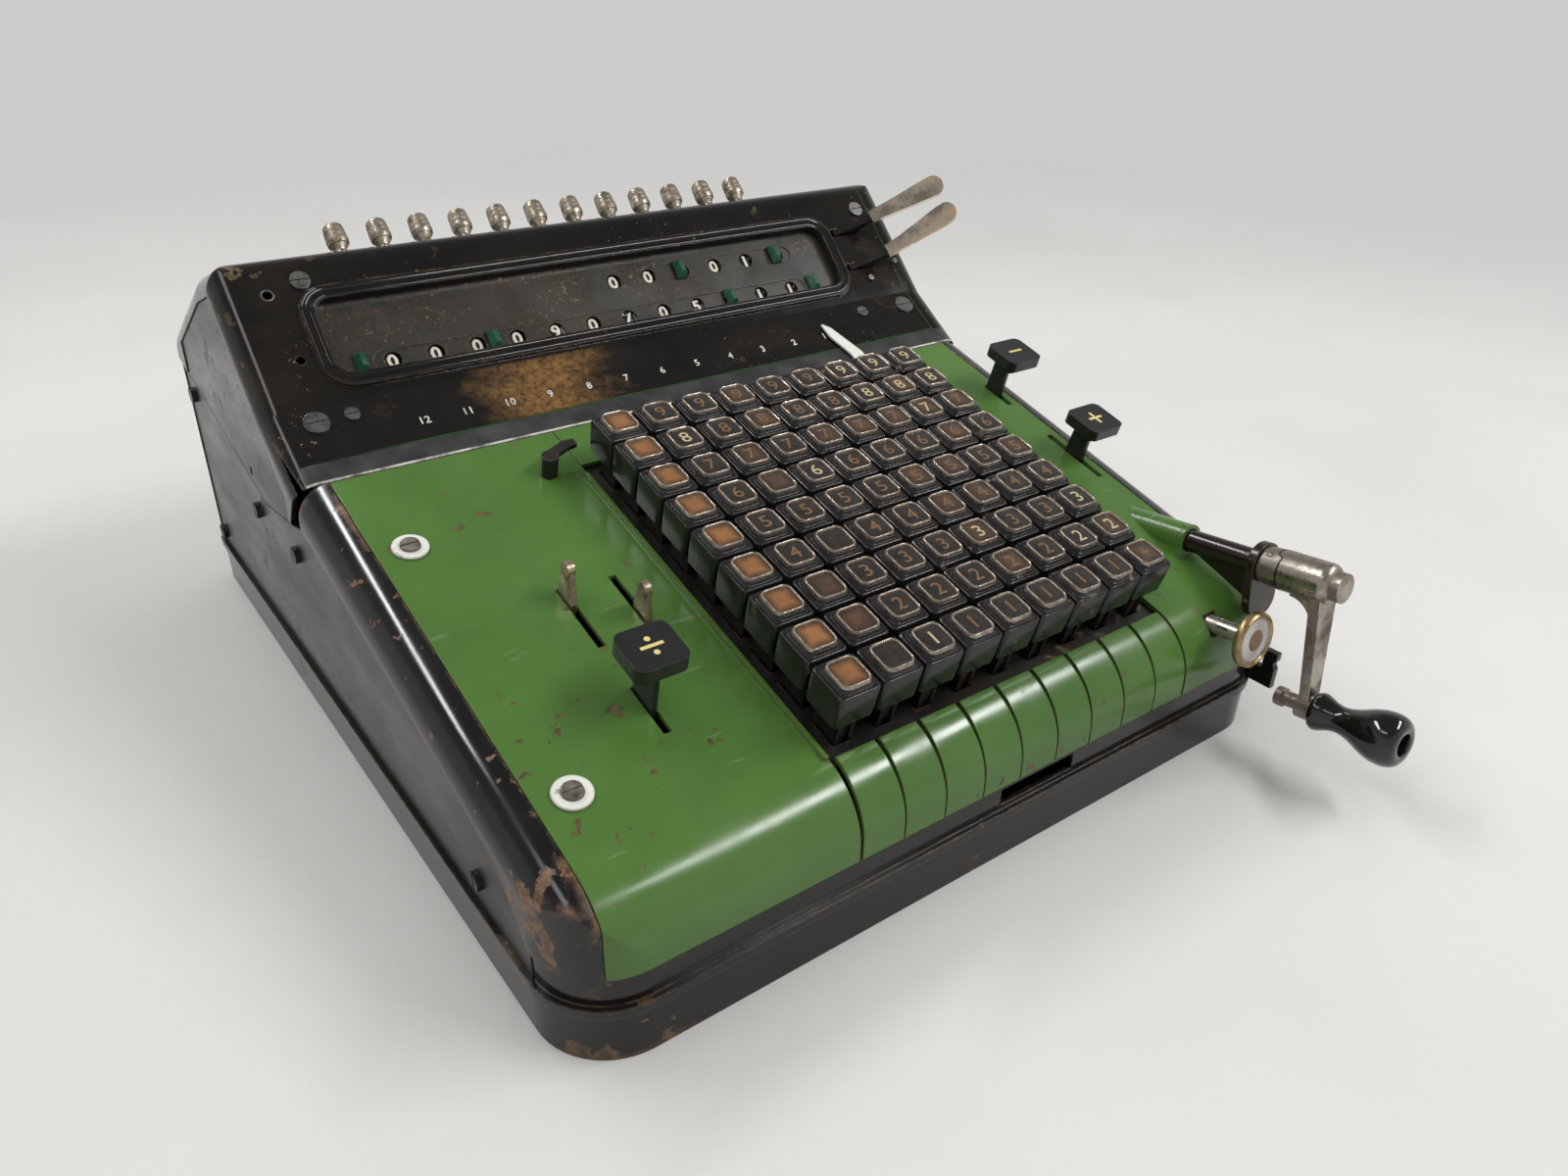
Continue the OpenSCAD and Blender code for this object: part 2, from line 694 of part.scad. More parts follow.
// Point in Y-Z below the face, under the drums
function under_face(u) = [face_y + u * cos(face_angle) + web_depth * sin(face_angle),
    face_z + u * sin(face_angle) - web_depth * cos(face_angle)];

// Cast frame that carries the dials and runs on the rods
module carriage_chassis() {
    color("#77797c") difference() {
        union() {
            for (s = bar_s) on_dial(0) translate([-half_w + 9, -bar_top, s - bar_t / 2])
                cube([body_w - 18, bar_top - bar_low, bar_t]);
            for (x = web_x) from_front() along_x(x, x + web_t) polygon([
                [rail_y[0] - 8, rail_z[0] - 8], [rail_y[0] - 8, 110], under_face(-2), under_face(48),
                [shoulder_y + 6, shoulder_z - 26], [rail_y[1] + 9, rail_z[1] + 14],
                [rail_y[1] + 9, rail_z[1] - 8], [rail_y[1] - 9, rail_z[1] - 8],
                [rail_y[1] - 20, rail_z[1] + 6], [rail_y[0] + 20, rail_z[0] + 6],
                [rail_y[0] + 8, rail_z[0] - 8]]);
            // Pin of the two clearing levers
            on_dial(clearing_x) translate([0, clearing_pin_depth - axis_depth, bar_s[0]])
                cylinder(d = clearing_pin_d, h = bar_s[2] - bar_s[0]);
        }
        for (i = [0, 1]) from_front() translate([-big / 2, rail_y[i], rail_z[i]])
            rotate([0, 90, 0]) cylinder(d = rail_d + 2 * running, h = big);
        for (i = [0 : result_dials - 1]) on_dial(dial_x(i)) translate([0, 0, -30])
            cylinder(d = spindle_d + 2 * running, h = 90);
    }
}

module carriage_screws() {
    color("#8c8a85") {
        for (p = [[bezel_x0 + 5.3, bezel_u1 + 3.7], [half_w - 20.7, 51.1]])
            on_face() translate([p[0], p[1], 0]) screw_head(8, 1.2);
        // Pegs beside the clearing levers
        for (p = [[clearing_x + 2.4, 11.1], [half_w - 11.7, 18]])
            on_face() translate([p[0], p[1], 0]) cylinder(d = 3, h = 1.4);
        for (x = [18.4 - half_w, half_w - 20.6]) on_lip() translate([x, 27, 0]) screw_head(10, 1.2);
        for (x = [32.7 - half_w, half_w - 47.7]) on_lip() translate([x, 28, 0]) screw_head(6, 1);
    }
}

// Places children on the carriage's lower lip: Y up the lip, Z out of it
module on_lip() {
    from_front() translate([0, lip_y, lip_z])
        rotate([lip_angle, 0, 0]) children();
}

// ---------- dials ----------

function dial_x(i) = dial_first_x + i * dial_pitch;

module result_dial(i) {
    color("#1c1c1d") on_dial(dial_x(i)) {
        translate([0, 0, spindle_tail]) cylinder(d = spindle_d, h = knob_base_s - spindle_tail + 1);
        translate([0, 0, -drum_l / 2]) cylinder(r = drum_r, h = drum_l);
        translate([0, 0, knob_base_s]) cylinder(d = neck_d, h = neck_l);
        translate([0, 0, knob_base_s + neck_l]) cylinder(d = knob_d, h = knob_l - 1);
        translate([0, 0, knob_base_s + neck_l + knob_l - 1])
            cylinder(d1 = knob_d, d2 = knob_d - 2, h = 1);
    }
}

module counter_dial(i) {
    color("#1c1c1d") on_dial(dial_x(counter_from + i))
        translate([0, 0, upper_row_u - lower_row_u - drum_l / 2]) difference() {
            cylinder(r = drum_r, h = drum_l);
            translate([0, 0, -1]) cylinder(d = spindle_d + 2 * running, h = drum_l + 2);
        }
}

// Faceted decimal marker that straddles the recess
module marker(x, u) {
    on_face() translate([x, u, -recess_depth]) intersection() {
        rotate([90, 0, 0]) translate([0, 0, -6]) linear_extrude(12)
            polygon([[-2.7, 0.3], [-2.7, 1], [-0.9, 4.4], [0.9, 4.4], [2.7, 1], [2.7, 0.3]]);
        rotate([90, 0, 90]) translate([0, 0, -4]) linear_extrude(8)
            polygon([[-4.6, 0.2], [-4.6, 1.4], [-2.4, 4.5], [2.4, 4.5], [4.6, 1.4], [4.6, 0.2]]);
    }
}

module lower_markers() {
    color("#2f6b45") for (g = [-0.7, 2.4, 9, 11.7])
        marker(dial_first_x + g * dial_pitch, lower_row_u);
}

module upper_markers() {
    color("#2f6b45") for (g = [7.9, 10.9])
        marker(dial_first_x + g * dial_pitch, upper_row_u);
}

// ---------- keys ----------

function key_x(c) = field_x0 + (c + 0.5) * key_pitch_x;

// One key: skirted cap, raised label frame and grooved stem
module key() {
    foot = -guide_drop - guide_t - key_travel;
    cap_low = key_top_h - 1.4 - key_skirt_h;
    difference() {
        union() {
            translate([0, 0, key_top_h - 4]) linear_extrude(2.6)
                rounded_rect(key_cap_w - 1.2, key_cap_w - 1.2, 2.6);
            translate([0, 0, cap_low]) linear_extrude(key_skirt_h - 2.2)
                rounded_rect(key_cap_w, key_cap_w, 2);
            translate([0, 0, key_top_h - 1.4]) linear_extrude(1.4)
                rounded_rect(key_rim_w, key_rim_w, 2.8);
            translate([-stem_w / 2, -stem_l / 2, foot]) cube([stem_w, stem_l, cap_low - foot + 1]);
        }
        translate([0, 0, key_top_h - 0.8]) linear_extrude(2)
            rounded_rect(key_rim_w - 2, key_rim_w - 2, 1.9);
        // Shallow arch in the lower edge of the skirt, left and right
        translate([-key_cap_w, 0, cap_low - arch_r + 1.2]) rotate([0, 90, 0])
            cylinder(r = arch_r, h = key_cap_w - stem_w / 2 - 0.6);
        translate([stem_w / 2 + 0.6, 0, cap_low - arch_r + 1.2]) rotate([0, 90, 0])
            cylinder(r = arch_r, h = key_cap_w);
        for (s = [-1, 1]) translate([s * stem_w / 2, 0, (foot - 1 + cap_low) / 2])
            cube([1.6, stem_l / 3, cap_low - foot + 1], center = true);
    }
}

module key_column(c) {
    color("#1b1c1e") on_deck() for (r = [0 : key_rows - 1])
        translate([key_x(c), key_first_y + r * key_pitch_y, 0]) key();
}

// ---------- levers ----------

function lever_mid(l) = (l[3] + l[4]) / 2;
function lever_a_y() = (lever_mid(lever_a) + lever_mid(lever_b)) / 2;
function function_y() = lever_mid(function_lever);
function shift_y() = lever_mid(shift_lever);
function add_y() = lever_mid(add_lever);

// Blade of a lever from its eye up to a height, between y0 and y1 at the deck
module lever_blade(l, pivot_y, top_h, top_y0, top_y1) {
    difference() {
        union() {
            translate([l[0] - blade_t / 2, 0, 0]) along_x(0, blade_t) polygon([
                [pivot_y - 3, -lever_depth], [l[3], -8], [l[3], 2], [top_y0, top_h],
                [top_y1, top_h], [l[4], 2], [l[4], -8], [pivot_y + 3, -lever_depth]]);
            translate([l[0] - blade_t / 2 - 1.5, pivot_y, -lever_depth]) rotate([0, 90, 0])
                cylinder(d = lever_eye_d, h = blade_t + 3);
        }
        translate([l[0] - 20, pivot_y, -lever_depth]) rotate([0, 90, 0])
            cylinder(d = lever_shaft_d + 2 * running, h = 40);
    }
}

// Finger tip of a setting lever
module lever_tip(l, y, h) {
    translate([l[0], y, h]) rotate([0, 90, 0]) translate([0, 0, -1.5]) cylinder(d = 6, h = 3);
}

module setting_lever_left() {
    color("#a89f8c") on_deck() {
        lever_blade(lever_a, lever_a_y(), 14, 119.5, 125.5);
        lever_tip(lever_a, 122.5, 14);
    }
}

module setting_lever_right() {
    color("#a89f8c") on_deck() {
        lever_blade(lever_b, lever_a_y(), 12, 101.5, 107.5);
        lever_tip(lever_b, 104.5, 12);
    }
}

// Square cap on a collar
module lever_cap(x, y, h, t) {
    translate([x, y, h - t]) linear_extrude(t) rounded_rect(lever_cap_w, lever_cap_w - 1, 3.4);
    translate([x, y, h - t - 4]) linear_extrude(4.5) rounded_rect(10, 10, 2);
}

module function_key() {
    color("#17181a") on_deck() {
        lever_blade(function_lever, function_y(), 18, 62.5, 73);
        lever_cap(function_lever[0], function_y(), 25.8, 6);
    }
}

module shift_key() {
    color("#17181a") on_deck() {
        lever_blade(shift_lever, shift_y(), 17, 165, 173.5);
        lever_cap(shift_lever[0] + 3, shift_y() - 2, 23.5, 5);
    }
}

module add_key() {
    color("#17181a") on_deck() {
        lever_blade(add_lever, add_y(), 14, 108.5, 117.5);
        lever_cap(add_lever[0] + 3, add_y() - 1, 20.8, 5);
    }
}

module release_arm() {
    color("#1b1c1e") on_deck() translate([arm_x, arm_y, 0]) {
        translate([0, 0, -8]) cylinder(d = 4.6, h = 8 + seam);
        translate([0, 0, seam]) cylinder(d = 7, h = arm_post_h);
        translate([0, 0, arm_post_h - 2]) linear_extrude(2) polygon([[-2, -2.6], [-2, 2.6],
            [9, 1.6 + 6], [14, 1.6 + 6], [14, -1 + 5], [9.5, -1 + 4]]);
    }
}

// ---------- clearing levers ----------

module clearing_slot(u) {
    w = clearing_blade_t + 2 * slot_gap;
    on_face() translate([clearing_x - 9.5, u - w / 2, -20]) cube([18, w, 40]);
}

// Blade that rises out of its slot and carries a flat, round-ended finger
module clearing_lever(i) {
    color("#c8b78e") on_face() translate([clearing_x, clearing_u[i], -clearing_pin_depth]) {
        rotate([90, 0, 0]) difference() {
            union() {
                translate([0, 0, -3.2]) cylinder(d = clearing_pin_d + 4, h = 6.4);
                translate([0, 0, -clearing_blade_t / 2]) linear_extrude(clearing_blade_t) polygon([
                    [-3.2, -1.5], [-6.8, 4], [-7, 7.2], [-3, 9.6], [3, 12.6], [9.5, 16.4],
                    [12.6, 17.9], [17.5, 20.9], [19, 19.6], [15, 16], [9, 9.5], [5.5, 5],
                    [3.2, -1.5]]);
            }
            translate([0, 0, -10]) cylinder(d = clearing_pin_d + 2 * running, h = 20);
        }
        translate([12.5, 0, 16.6]) rotate([0, -finger_rise, 0]) linear_extrude(2) {
            polygon([[0, -2.7], [0, 2.7], [finger_l, clearing_bend[i] + finger_end_r - 0.1],
                [finger_l, clearing_bend[i] - finger_end_r + 0.1]]);
            translate([finger_l, clearing_bend[i]]) circle(r = finger_end_r);
        }
    }
}

module clearing_lever_front() {
    clearing_lever(0);
}

module clearing_lever_rear() {
    clearing_lever(1);
}

// ---------- crank ----------

module crank_arm() {
    color("#9b958a") on_crank() difference() {
        union() {
            rotate_extrude() rounded_outline([[0, seam - 2], [hub_d / 2 - 0.7, seam - 2],
                [hub_d / 2, 7], [hub_d / 2, hub_end], [0, hub_end]], [0, 0, 0, 4, 0]);
            // Head of the shaft's screw
            translate([0, 0, hub_end - 2]) cylinder(d = 12, h = 5.5);
            translate([0, 0, arm_back_s]) linear_extrude(4.4) polygon([[-6.4, 0], [6.4, 0],
                [3.4, -crank_arm_l], [-3.4, -crank_arm_l]]);
            // Fillet between the hub and the arm's back
            translate([4.2, 0, 0]) rotate([0, -90, 0]) linear_extrude(8.4) difference() {
                translate([12, -8.1 - arm_fillet_r]) square([11, 2.1 + arm_fillet_r]);
                translate([12, -8.1 - arm_fillet_r]) circle(r = arm_fillet_r);
            }
            translate([0, -crank_arm_l, arm_s]) cylinder(d = 11, h = arm_t);
            // Rest pin on the back of the arm
            translate([0, -crank_arm_l, arm_s - 10]) cylinder(d = 6.4, h = 11);
            translate([0, -crank_arm_l, arm_s - 10]) cylinder(d = 8.2, h = 3);
            // Stud for the handle
            translate([0, -crank_arm_l, arm_s]) cylinder(d = 5, h = arm_t + handle_l - 3);
        }
        translate([0, 0, -10]) cylinder(d = shaft_d + 2 * running, h = 32);
    }
}

module drive_shaft() {
    color("#8f9194") on_crank() {
        translate([0, 0, -83]) cylinder(d = shaft_d, h = 104.5);
        translate([0, 0, -79]) cylinder(d = sleeve_d, h = 8.7);
    }
}

module crank_handle() {
    color("#0c0c0d") on_crank() translate([0, -crank_arm_l, arm_s + arm_t + seam]) difference() {
        rotate_extrude() polygon([[0, 0], [6.6, 0], [7.7, 0.8], [8, 2.2], [7.5, 4.2], [6.2, 7.2],
            [5.6, 10], [5.7, 12.5], [6.6, 16], [8.5, 20.5], [handle_d / 2 - 1, handle_l - 12.5],
            [handle_d / 2, handle_l - 8.5], [handle_d / 2, handle_l - 5.5],
            [handle_d / 2 - 1.1, handle_l - 2.4], [handle_d / 2 - 3.4, handle_l - 0.5],
            [handle_d / 2 - 5, handle_l], [0, handle_l]]);
        translate([0, 0, -1]) cylinder(d = 5 + 2 * running, h = handle_l + 5);
        // Recess round the stud's end
        translate([0, 0, handle_l - 4]) cylinder(d = 9, h = 6);
    }
}

module button_place() {
    from_front() translate([button_x, 0, button_z]) rotate([90 - crank_tilt, 0, 0]) children();
}

module push_button() {
    color("#b8b2a4") button_place() difference() {
        union() {
            translate([0, 0, -34]) cylinder(d = button_shaft_d, h = 44);
            translate([0, 0, 10]) cylinder(d = button_d, h = 3);
        }
        translate([0, 0, 12]) cylinder(d = button_d - 4, h = 3);
        translate([-0.6, -button_shaft_d, -20]) cube([1.2, 2 * button_shaft_d, 28]);
    }
}

// ---------- assembly ----------

base_pan();
left_side_cover();
right_side_cover();
rear_cover();
border_rails();
left_cover_plate();
right_cover_plate();
comb_strips();
key_guide_plate();
inner_frame();
carriage_rails();
crank_bearing();
scale_pointer();
body_screws();
carriage_cover();
window_plate();
carriage_end_plates();
carriage_chassis();
carriage_screws();
for (i = [0 : result_dials - 1])
    result_dial(i);
for (i = [0 : counter_dials - 1])
    counter_dial(i);
lower_markers();
upper_markers();
for (c = [0 : key_cols - 1])
    key_column(c);
setting_lever_left();
setting_lever_right();
function_key();
shift_key();
add_key();
release_arm();
clearing_lever_front();
clearing_lever_rear();
crank_arm();
drive_shaft();
crank_handle();
push_button();
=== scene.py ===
import json
import math
import random

import bmesh
import bpy
from mathutils import Matrix, Vector

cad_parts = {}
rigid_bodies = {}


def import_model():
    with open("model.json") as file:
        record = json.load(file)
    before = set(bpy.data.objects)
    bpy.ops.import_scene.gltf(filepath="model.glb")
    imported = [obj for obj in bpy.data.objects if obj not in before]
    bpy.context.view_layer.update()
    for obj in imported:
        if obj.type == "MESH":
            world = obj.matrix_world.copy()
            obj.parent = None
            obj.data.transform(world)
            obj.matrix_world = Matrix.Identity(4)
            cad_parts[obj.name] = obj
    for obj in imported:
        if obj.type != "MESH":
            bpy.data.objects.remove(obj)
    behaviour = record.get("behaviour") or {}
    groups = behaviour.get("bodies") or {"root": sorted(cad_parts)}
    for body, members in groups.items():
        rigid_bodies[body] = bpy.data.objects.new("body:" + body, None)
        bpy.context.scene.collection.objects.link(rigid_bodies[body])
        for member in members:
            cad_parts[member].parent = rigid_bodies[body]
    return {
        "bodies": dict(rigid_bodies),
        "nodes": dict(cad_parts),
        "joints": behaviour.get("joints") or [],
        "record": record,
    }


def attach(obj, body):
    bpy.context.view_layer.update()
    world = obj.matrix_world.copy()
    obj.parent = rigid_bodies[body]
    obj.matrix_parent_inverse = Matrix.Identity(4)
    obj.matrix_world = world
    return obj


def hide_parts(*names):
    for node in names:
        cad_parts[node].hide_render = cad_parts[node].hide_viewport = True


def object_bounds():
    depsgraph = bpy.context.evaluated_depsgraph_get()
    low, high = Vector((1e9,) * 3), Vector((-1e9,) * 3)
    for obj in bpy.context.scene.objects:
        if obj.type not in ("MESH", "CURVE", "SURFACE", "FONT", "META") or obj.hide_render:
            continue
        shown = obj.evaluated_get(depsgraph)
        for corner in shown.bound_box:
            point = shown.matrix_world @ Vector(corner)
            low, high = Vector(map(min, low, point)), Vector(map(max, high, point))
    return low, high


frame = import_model()
cad_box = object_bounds()
nodes = frame["nodes"]

# ---------- frames of the model, in metres and degrees ----------

BODY_D = 0.388
DECK_Z = 0.0593
DECK_SLOPE = 14.9
LIP_Y = 0.2085
LIP_Z = DECK_Z + LIP_Y * math.tan(math.radians(DECK_SLOPE))
LIP_RUN = 0.0295
LIP_RISE = 0.0192
LIP_SLOPE = math.degrees(math.atan2(LIP_RISE, LIP_RUN))
FACE_SLOPE = 45
CRANK_TILT = 83
ROW_LOW = 0.0155
ROW_HIGH = 0.0344
AXIS_DEPTH = 0.0133
DIAL_X0 = -0.1118
PITCH = 0.0185
KEY_X0 = -0.054
KEY_Y0 = 0.0306
KEY_PITCH_Y = 0.0187
FINGER_TILT = 32
FINGER_X = 0.1485
FINGER_OUT = 0.0096


def placed(x, y, z, angle):
    """Matrix of a frame turned about X, with y measured from the front face."""
    return Matrix.Translation((x, y - BODY_D / 2, z)) @ turn(angle, "X")


def at(x, y, z=0.0):
    return Matrix.Translation((x, y, z))


def turn(angle, axis):
    return Matrix.Rotation(math.radians(angle), 4, axis)


FRONT = placed(0, 0, 0, 0)
DECK = placed(0, 0, DECK_Z, DECK_SLOPE)
LIP = placed(0, LIP_Y, LIP_Z, LIP_SLOPE)
FACE = placed(0, LIP_Y + LIP_RUN, LIP_Z + LIP_RISE, FACE_SLOPE)
CRANK = placed(0.1472, 0, 0.080, CRANK_TILT)
BUTTON = placed(0.126, 0, 0.057, CRANK_TILT)
# Corner of the first key's square, one pitch wide and long
KEY_CORNER = DECK @ at(KEY_X0 - PITCH / 2, KEY_Y0 - KEY_PITCH_Y / 2)


def dial_frame(x):
    """Frame on a dial's axis in the lower row, with Z along the axis."""
    return FACE @ at(x, ROW_LOW, -AXIS_DEPTH) @ turn(-90, "X")


def finger_frame(x, u):
    """Frame on a clearing lever at x and height u of the face, with X along the finger."""
    return FACE @ at(x, u, FINGER_OUT) @ turn(-FINGER_TILT, "Y")


# ---------- node materials ----------

EDGE_R = 0.0004
COAT_ROUGH = 0.08
STRETCH_Y = (1, 0.35, 1)
STRETCH_X = (0.5, 1, 1)
SCRATCH_X = (0.12, 1, 1)

# Colours that wear lays bare or leaves behind, and the painted reflections and painted highlight
# along the scale's lower edge
GROOVE = (0.012, 0.008, 0.006)
BLADE = (0.008, 0.0075, 0.007)
TARNISH = (0.60, 0.55, 0.50)
SCREW_STEEL = (0.30, 0.265, 0.22)
SCALE_TAN = (0.026, 0.018, 0.010)
SCALE_GOLD = (0.235, 0.125, 0.042)
SCALE_SPECK = (0.26, 0.18, 0.10)
# Greys of the flange below the scale, a painted reflection of the bright surroundings
FLANGE_SHEEN_DARK = (0.024, 0.024, 0.025)
FLANGE_SHEEN_PALE = (0.050, 0.049, 0.049)
# Painted reflection of the green deck, a line round the scale
REFLECTED_DECK_GREEN = (0.020, 0.080, 0.017)
# Painted highlight along the flange's lower edge
EDGE_HIGHLIGHT = (0.52, 0.50, 0.46)
DUST_BROWN = (0.050, 0.034, 0.019)
DUST_GOLD = (0.36, 0.23, 0.11)
SCUFF_BROWN = (0.115, 0.060, 0.030)
SCRATCH_PALE = (0.17, 0.21, 0.12)

# The scale on the carriage's lip: its lower and upper edge and the painted reflection of the green
# deck, drawn as a line round it
SCALE_LOW = 0.0090
SCALE_HIGH = 0.0375
LINE_UP = (0.0092, 0.00965)
LINE_SIDE = (0.1566, 0.1571)


class Tree:
    """Short helper round the node tree of a material or of the world."""

    def __init__(self, owner, space="Object"):
        owner.use_nodes = True
        self.owner = owner
        self.nt = owner.node_tree
        self.bsdf = self.nt.nodes.get("Principled BSDF")
        self.coord = self.node("ShaderNodeTexCoord").outputs[space]

    def node(self, kind, **values):
        n = self.nt.nodes.new(kind)
        for k, v in values.items():
            setattr(n, k, v)
        return n

    def link(self, a, b):
        self.nt.links.new(a, b)

    def noise(self, scale, detail, rough=0.55, stretch=None):
        n = self.node("ShaderNodeTexNoise")
        n.inputs["Scale"].default_value = scale
        n.inputs["Detail"].default_value = detail
        n.inputs["Roughness"].default_value = rough
        src = self.coord
        if stretch:
            m = self.node("ShaderNodeMapping")
            m.inputs["Scale"].default_value = stretch
            self.link(src, m.inputs["Vector"])
            src = m.outputs["Vector"]
        self.link(src, n.inputs["Vector"])
        return n.outputs["Fac"]

    def ramp(self, fac, low, high, a=0.0, b=1.0):
        """Runs from a at low to b at high and stays level outside."""
        n = self.node("ShaderNodeMapRange")
        n.clamp = True
        self.link(fac, n.inputs["Value"])
        for k, v in (("From Min", low), ("From Max", high), ("To Min", a), ("To Max", b)):
            n.inputs[k].default_value = v
        return n.outputs["Result"]

    def fall(self, fac, low, high):
        """1 below low and 0 above high."""
        return self.ramp(fac, low, high, 1.0, 0.0)

    def band(self, value, low, high, soft=0.0001):
        """1 between two values of a distance, 0 outside."""
        return self.times(self.ramp(value, low - soft, low + soft),
                          self.fall(value, high - soft, high + soft))

    def math(self, op, a, b=0):
        n = self.node("ShaderNodeMath", operation=op)
        for i, v in enumerate((a, b)):
            if isinstance(v, (int, float)):
                n.inputs[i].default_value = v
            else:
                self.link(v, n.inputs[i])
        return n.outputs[0]

    def plus(self, a, b):
        return self.math("ADD", a, b)

    def most(self, a, b):
        return self.math("MAXIMUM", a, b)

    def times(self, *factors):
        out = factors[0]
        for f in factors[1:]:
            out = self.math("MULTIPLY", out, f)
        return out

    def mix(self, fac, a, b):
        """Mixes two colours, each given as a socket or as three numbers."""
        n = self.node("ShaderNodeMix", data_type="RGBA")
        self.link(fac, n.inputs[0])
        for sock, v in ((n.inputs[6], a), (n.inputs[7], b)):
            if isinstance(v, tuple):
                sock.default_value = (*v, 1.0)
            else:
                self.link(v, sock)
        return n.outputs[2]

    def blend(self, fac, a, b, output):
        """Mixes the shaders of two nodes and sends them to the output node."""
        n = self.node("ShaderNodeMixShader")
        for sock, v in zip(n.inputs, (fac, a.outputs[0], b.outputs[0])):
            self.link(v, sock)
        self.link(n.outputs[0], self.nt.nodes[output].inputs["Surface"])

    def local(self, frame, k):
        """Distance along axis k of a frame from its origin."""
        way = frame.col[k].to_3d()
        n = self.node("ShaderNodeVectorMath", operation="DOT_PRODUCT")
        self.link(self.coord, n.inputs[0])
        n.inputs[1].default_value = way
        return self.math("SUBTRACT", n.outputs["Value"], way.dot(frame.translation))

    def rounded(self, radius):
        """The surface's normal with its edges rounded off."""
        n = self.node("ShaderNodeBevel", samples=4)
        n.inputs["Radius"].default_value = radius
        return n.outputs["Normal"]

    def edges(self, radius, low=0.02, high=0.12):
        """1 on convex and concave edges, from the difference of rounded and true normals."""
        g = self.node("ShaderNodeNewGeometry")
        d = self.node("ShaderNodeVectorMath", operation="DOT_PRODUCT")
        self.link(self.rounded(radius), d.inputs[0])
        self.link(g.outputs["Normal"], d.inputs[1])
        return self.ramp(d.outputs["Value"], 1 - low, 1 - high)

    def bump(self, height, strength, distance, bevel=0.0):
        n = self.node("ShaderNodeBump")
        n.inputs["Strength"].default_value = strength
        n.inputs["Distance"].default_value = distance
        self.link(height, n.inputs["Height"])
        if bevel:
            self.link(self.rounded(bevel), n.inputs["Normal"])
        self.link(n.outputs["Normal"], self.bsdf.inputs["Normal"])

    def finish(self, color, rough, metal=0.0, coat=0.0, ior=1.5):
        """Sets the shader and returns the material; metal is a socket or a number."""
        inputs = self.bsdf.inputs
        self.link(color, inputs["Base Color"])
        self.link(rough, inputs["Roughness"])
        if isinstance(metal, float):
            inputs["Metallic"].default_value = metal
        else:
            self.link(metal, inputs["Metallic"])
        inputs["IOR"].default_value = ior
        inputs["Coat Weight"].default_value = coat
        inputs["Coat Roughness"].default_value = COAT_ROUGH
        return self.owner


def scaled(color, k, lift=0.0):
    return tuple(c * k + lift for c in color)


def enamel(name, base, deep, chip, rough, wear, dust, bevel=0.0008, chips=0.62, big=0.0,
           place=None, extra=None):
    """Stoved enamel: cloudy colour, worn edges, chips down to the metal and fine orange peel.

    chips and big are the noise levels where small chips and large flakes start, place says
    where flakes are likely, and extra adds marks of its own to colour and roughness.
    """
    t = Tree(bpy.data.materials.new(name))
    color = t.mix(t.ramp(t.noise(14, 3), 0.35, 0.7), base, deep)
    grime = t.times(t.ramp(t.noise(55, 6, 0.7), 0.5, 0.75), dust)
    color = t.mix(grime, color, scaled(base, 0.55, 0.012))
    edge = t.times(t.edges(bevel * 1.6), t.ramp(t.noise(90, 5, 0.7), 0.42, 0.58))
    spots = t.times(t.ramp(t.noise(120, 3, 0.6), chips, chips + 0.03),
                    t.ramp(t.noise(9, 2), 0.5, 0.56))
    worn = t.most(edge, spots)
    if big:
        field = t.noise(34, 6, 0.62)
        if place:
            field = t.plus(field, t.times(place(t), 0.135))
        field = t.plus(field, t.times(t.edges(0.006, 0.0, 0.3), 0.09))
        worn = t.most(worn, t.ramp(field, big + 0.06, big + 0.068))
    worn = t.times(worn, wear)
    rust = t.mix(t.ramp(t.noise(300, 3), 0.4, 0.6), chip, scaled(chip, 0.45))
    color = t.mix(worn, color, rust)
    smear = t.ramp(t.noise(38, 5, 0.6, STRETCH_Y), 0.35, 0.75, rough * 0.75, rough * 1.5)
    r = t.plus(smear, t.times(worn, 0.3))
    if extra:
        color, r = extra(t, color, r)
    height = t.math("SUBTRACT", t.times(t.noise(700, 2), 0.25), t.times(worn, 0.8))
    t.bump(height, 0.18, 0.0002, bevel)
    return t.finish(color, r, ior=1.46)


def metal(name, base, patina, rough, amount, scale=160, extra=None):
    """Plated or plain metal with a patchy patina and fine scratches."""
    t = Tree(bpy.data.materials.new(name))
    patch = t.times(t.ramp(t.noise(scale, 5, 0.65), 0.42, 0.66), amount)
    fine = t.noise(900, 3, 0.6)
    color = t.mix(patch, base, patina)
    color = t.mix(t.ramp(fine, 0.35, 0.7, 0.0, 0.25), color, scaled(base, 0.6))
    r = t.plus(t.times(patch, 0.35), t.ramp(fine, 0.3, 0.7, rough * 0.8, rough * 1.3))
    t.bump(t.plus(fine, patch), 0.3, 0.00008, EDGE_R)
    m = t.ramp(patch, 0.0, 1.0, 1.0, 0.45)
    if extra:
        color, m = extra(t, color, m)
    return t.finish(color, r, m)


def plastic(name, base, other, rough, mottle, scale, coat=0.0, rim=0.0):
    """Mottled plastic with specks of dirt and, by rim, a painted shade round each key's label where
    its raised rim stands over it.
    """
    t = Tree(bpy.data.materials.new(name))
    cloud = t.times(t.ramp(t.noise(scale, 5, 0.65), 0.38, 0.66), mottle)
    color = t.mix(cloud, base, other)
    dirt = t.times(t.ramp(t.noise(scale * 6, 3), 0.6, 0.7), 0.3)
    color = t.mix(dirt, color, scaled(base, 0.4))
    # Painted shade: the label darkens towards its border under the raised rim
    if rim:
        color = t.mix(t.times(label_edge(t), rim), color, scaled(base, 0.20, 0.004))
    r = t.ramp(t.noise(scale * 2, 4), 0.3, 0.7, rough * 0.75, rough * 1.35)
    t.bump(t.noise(1400, 2), 0.15, 0.0001, EDGE_R)
    return t.finish(color, r, coat=coat)


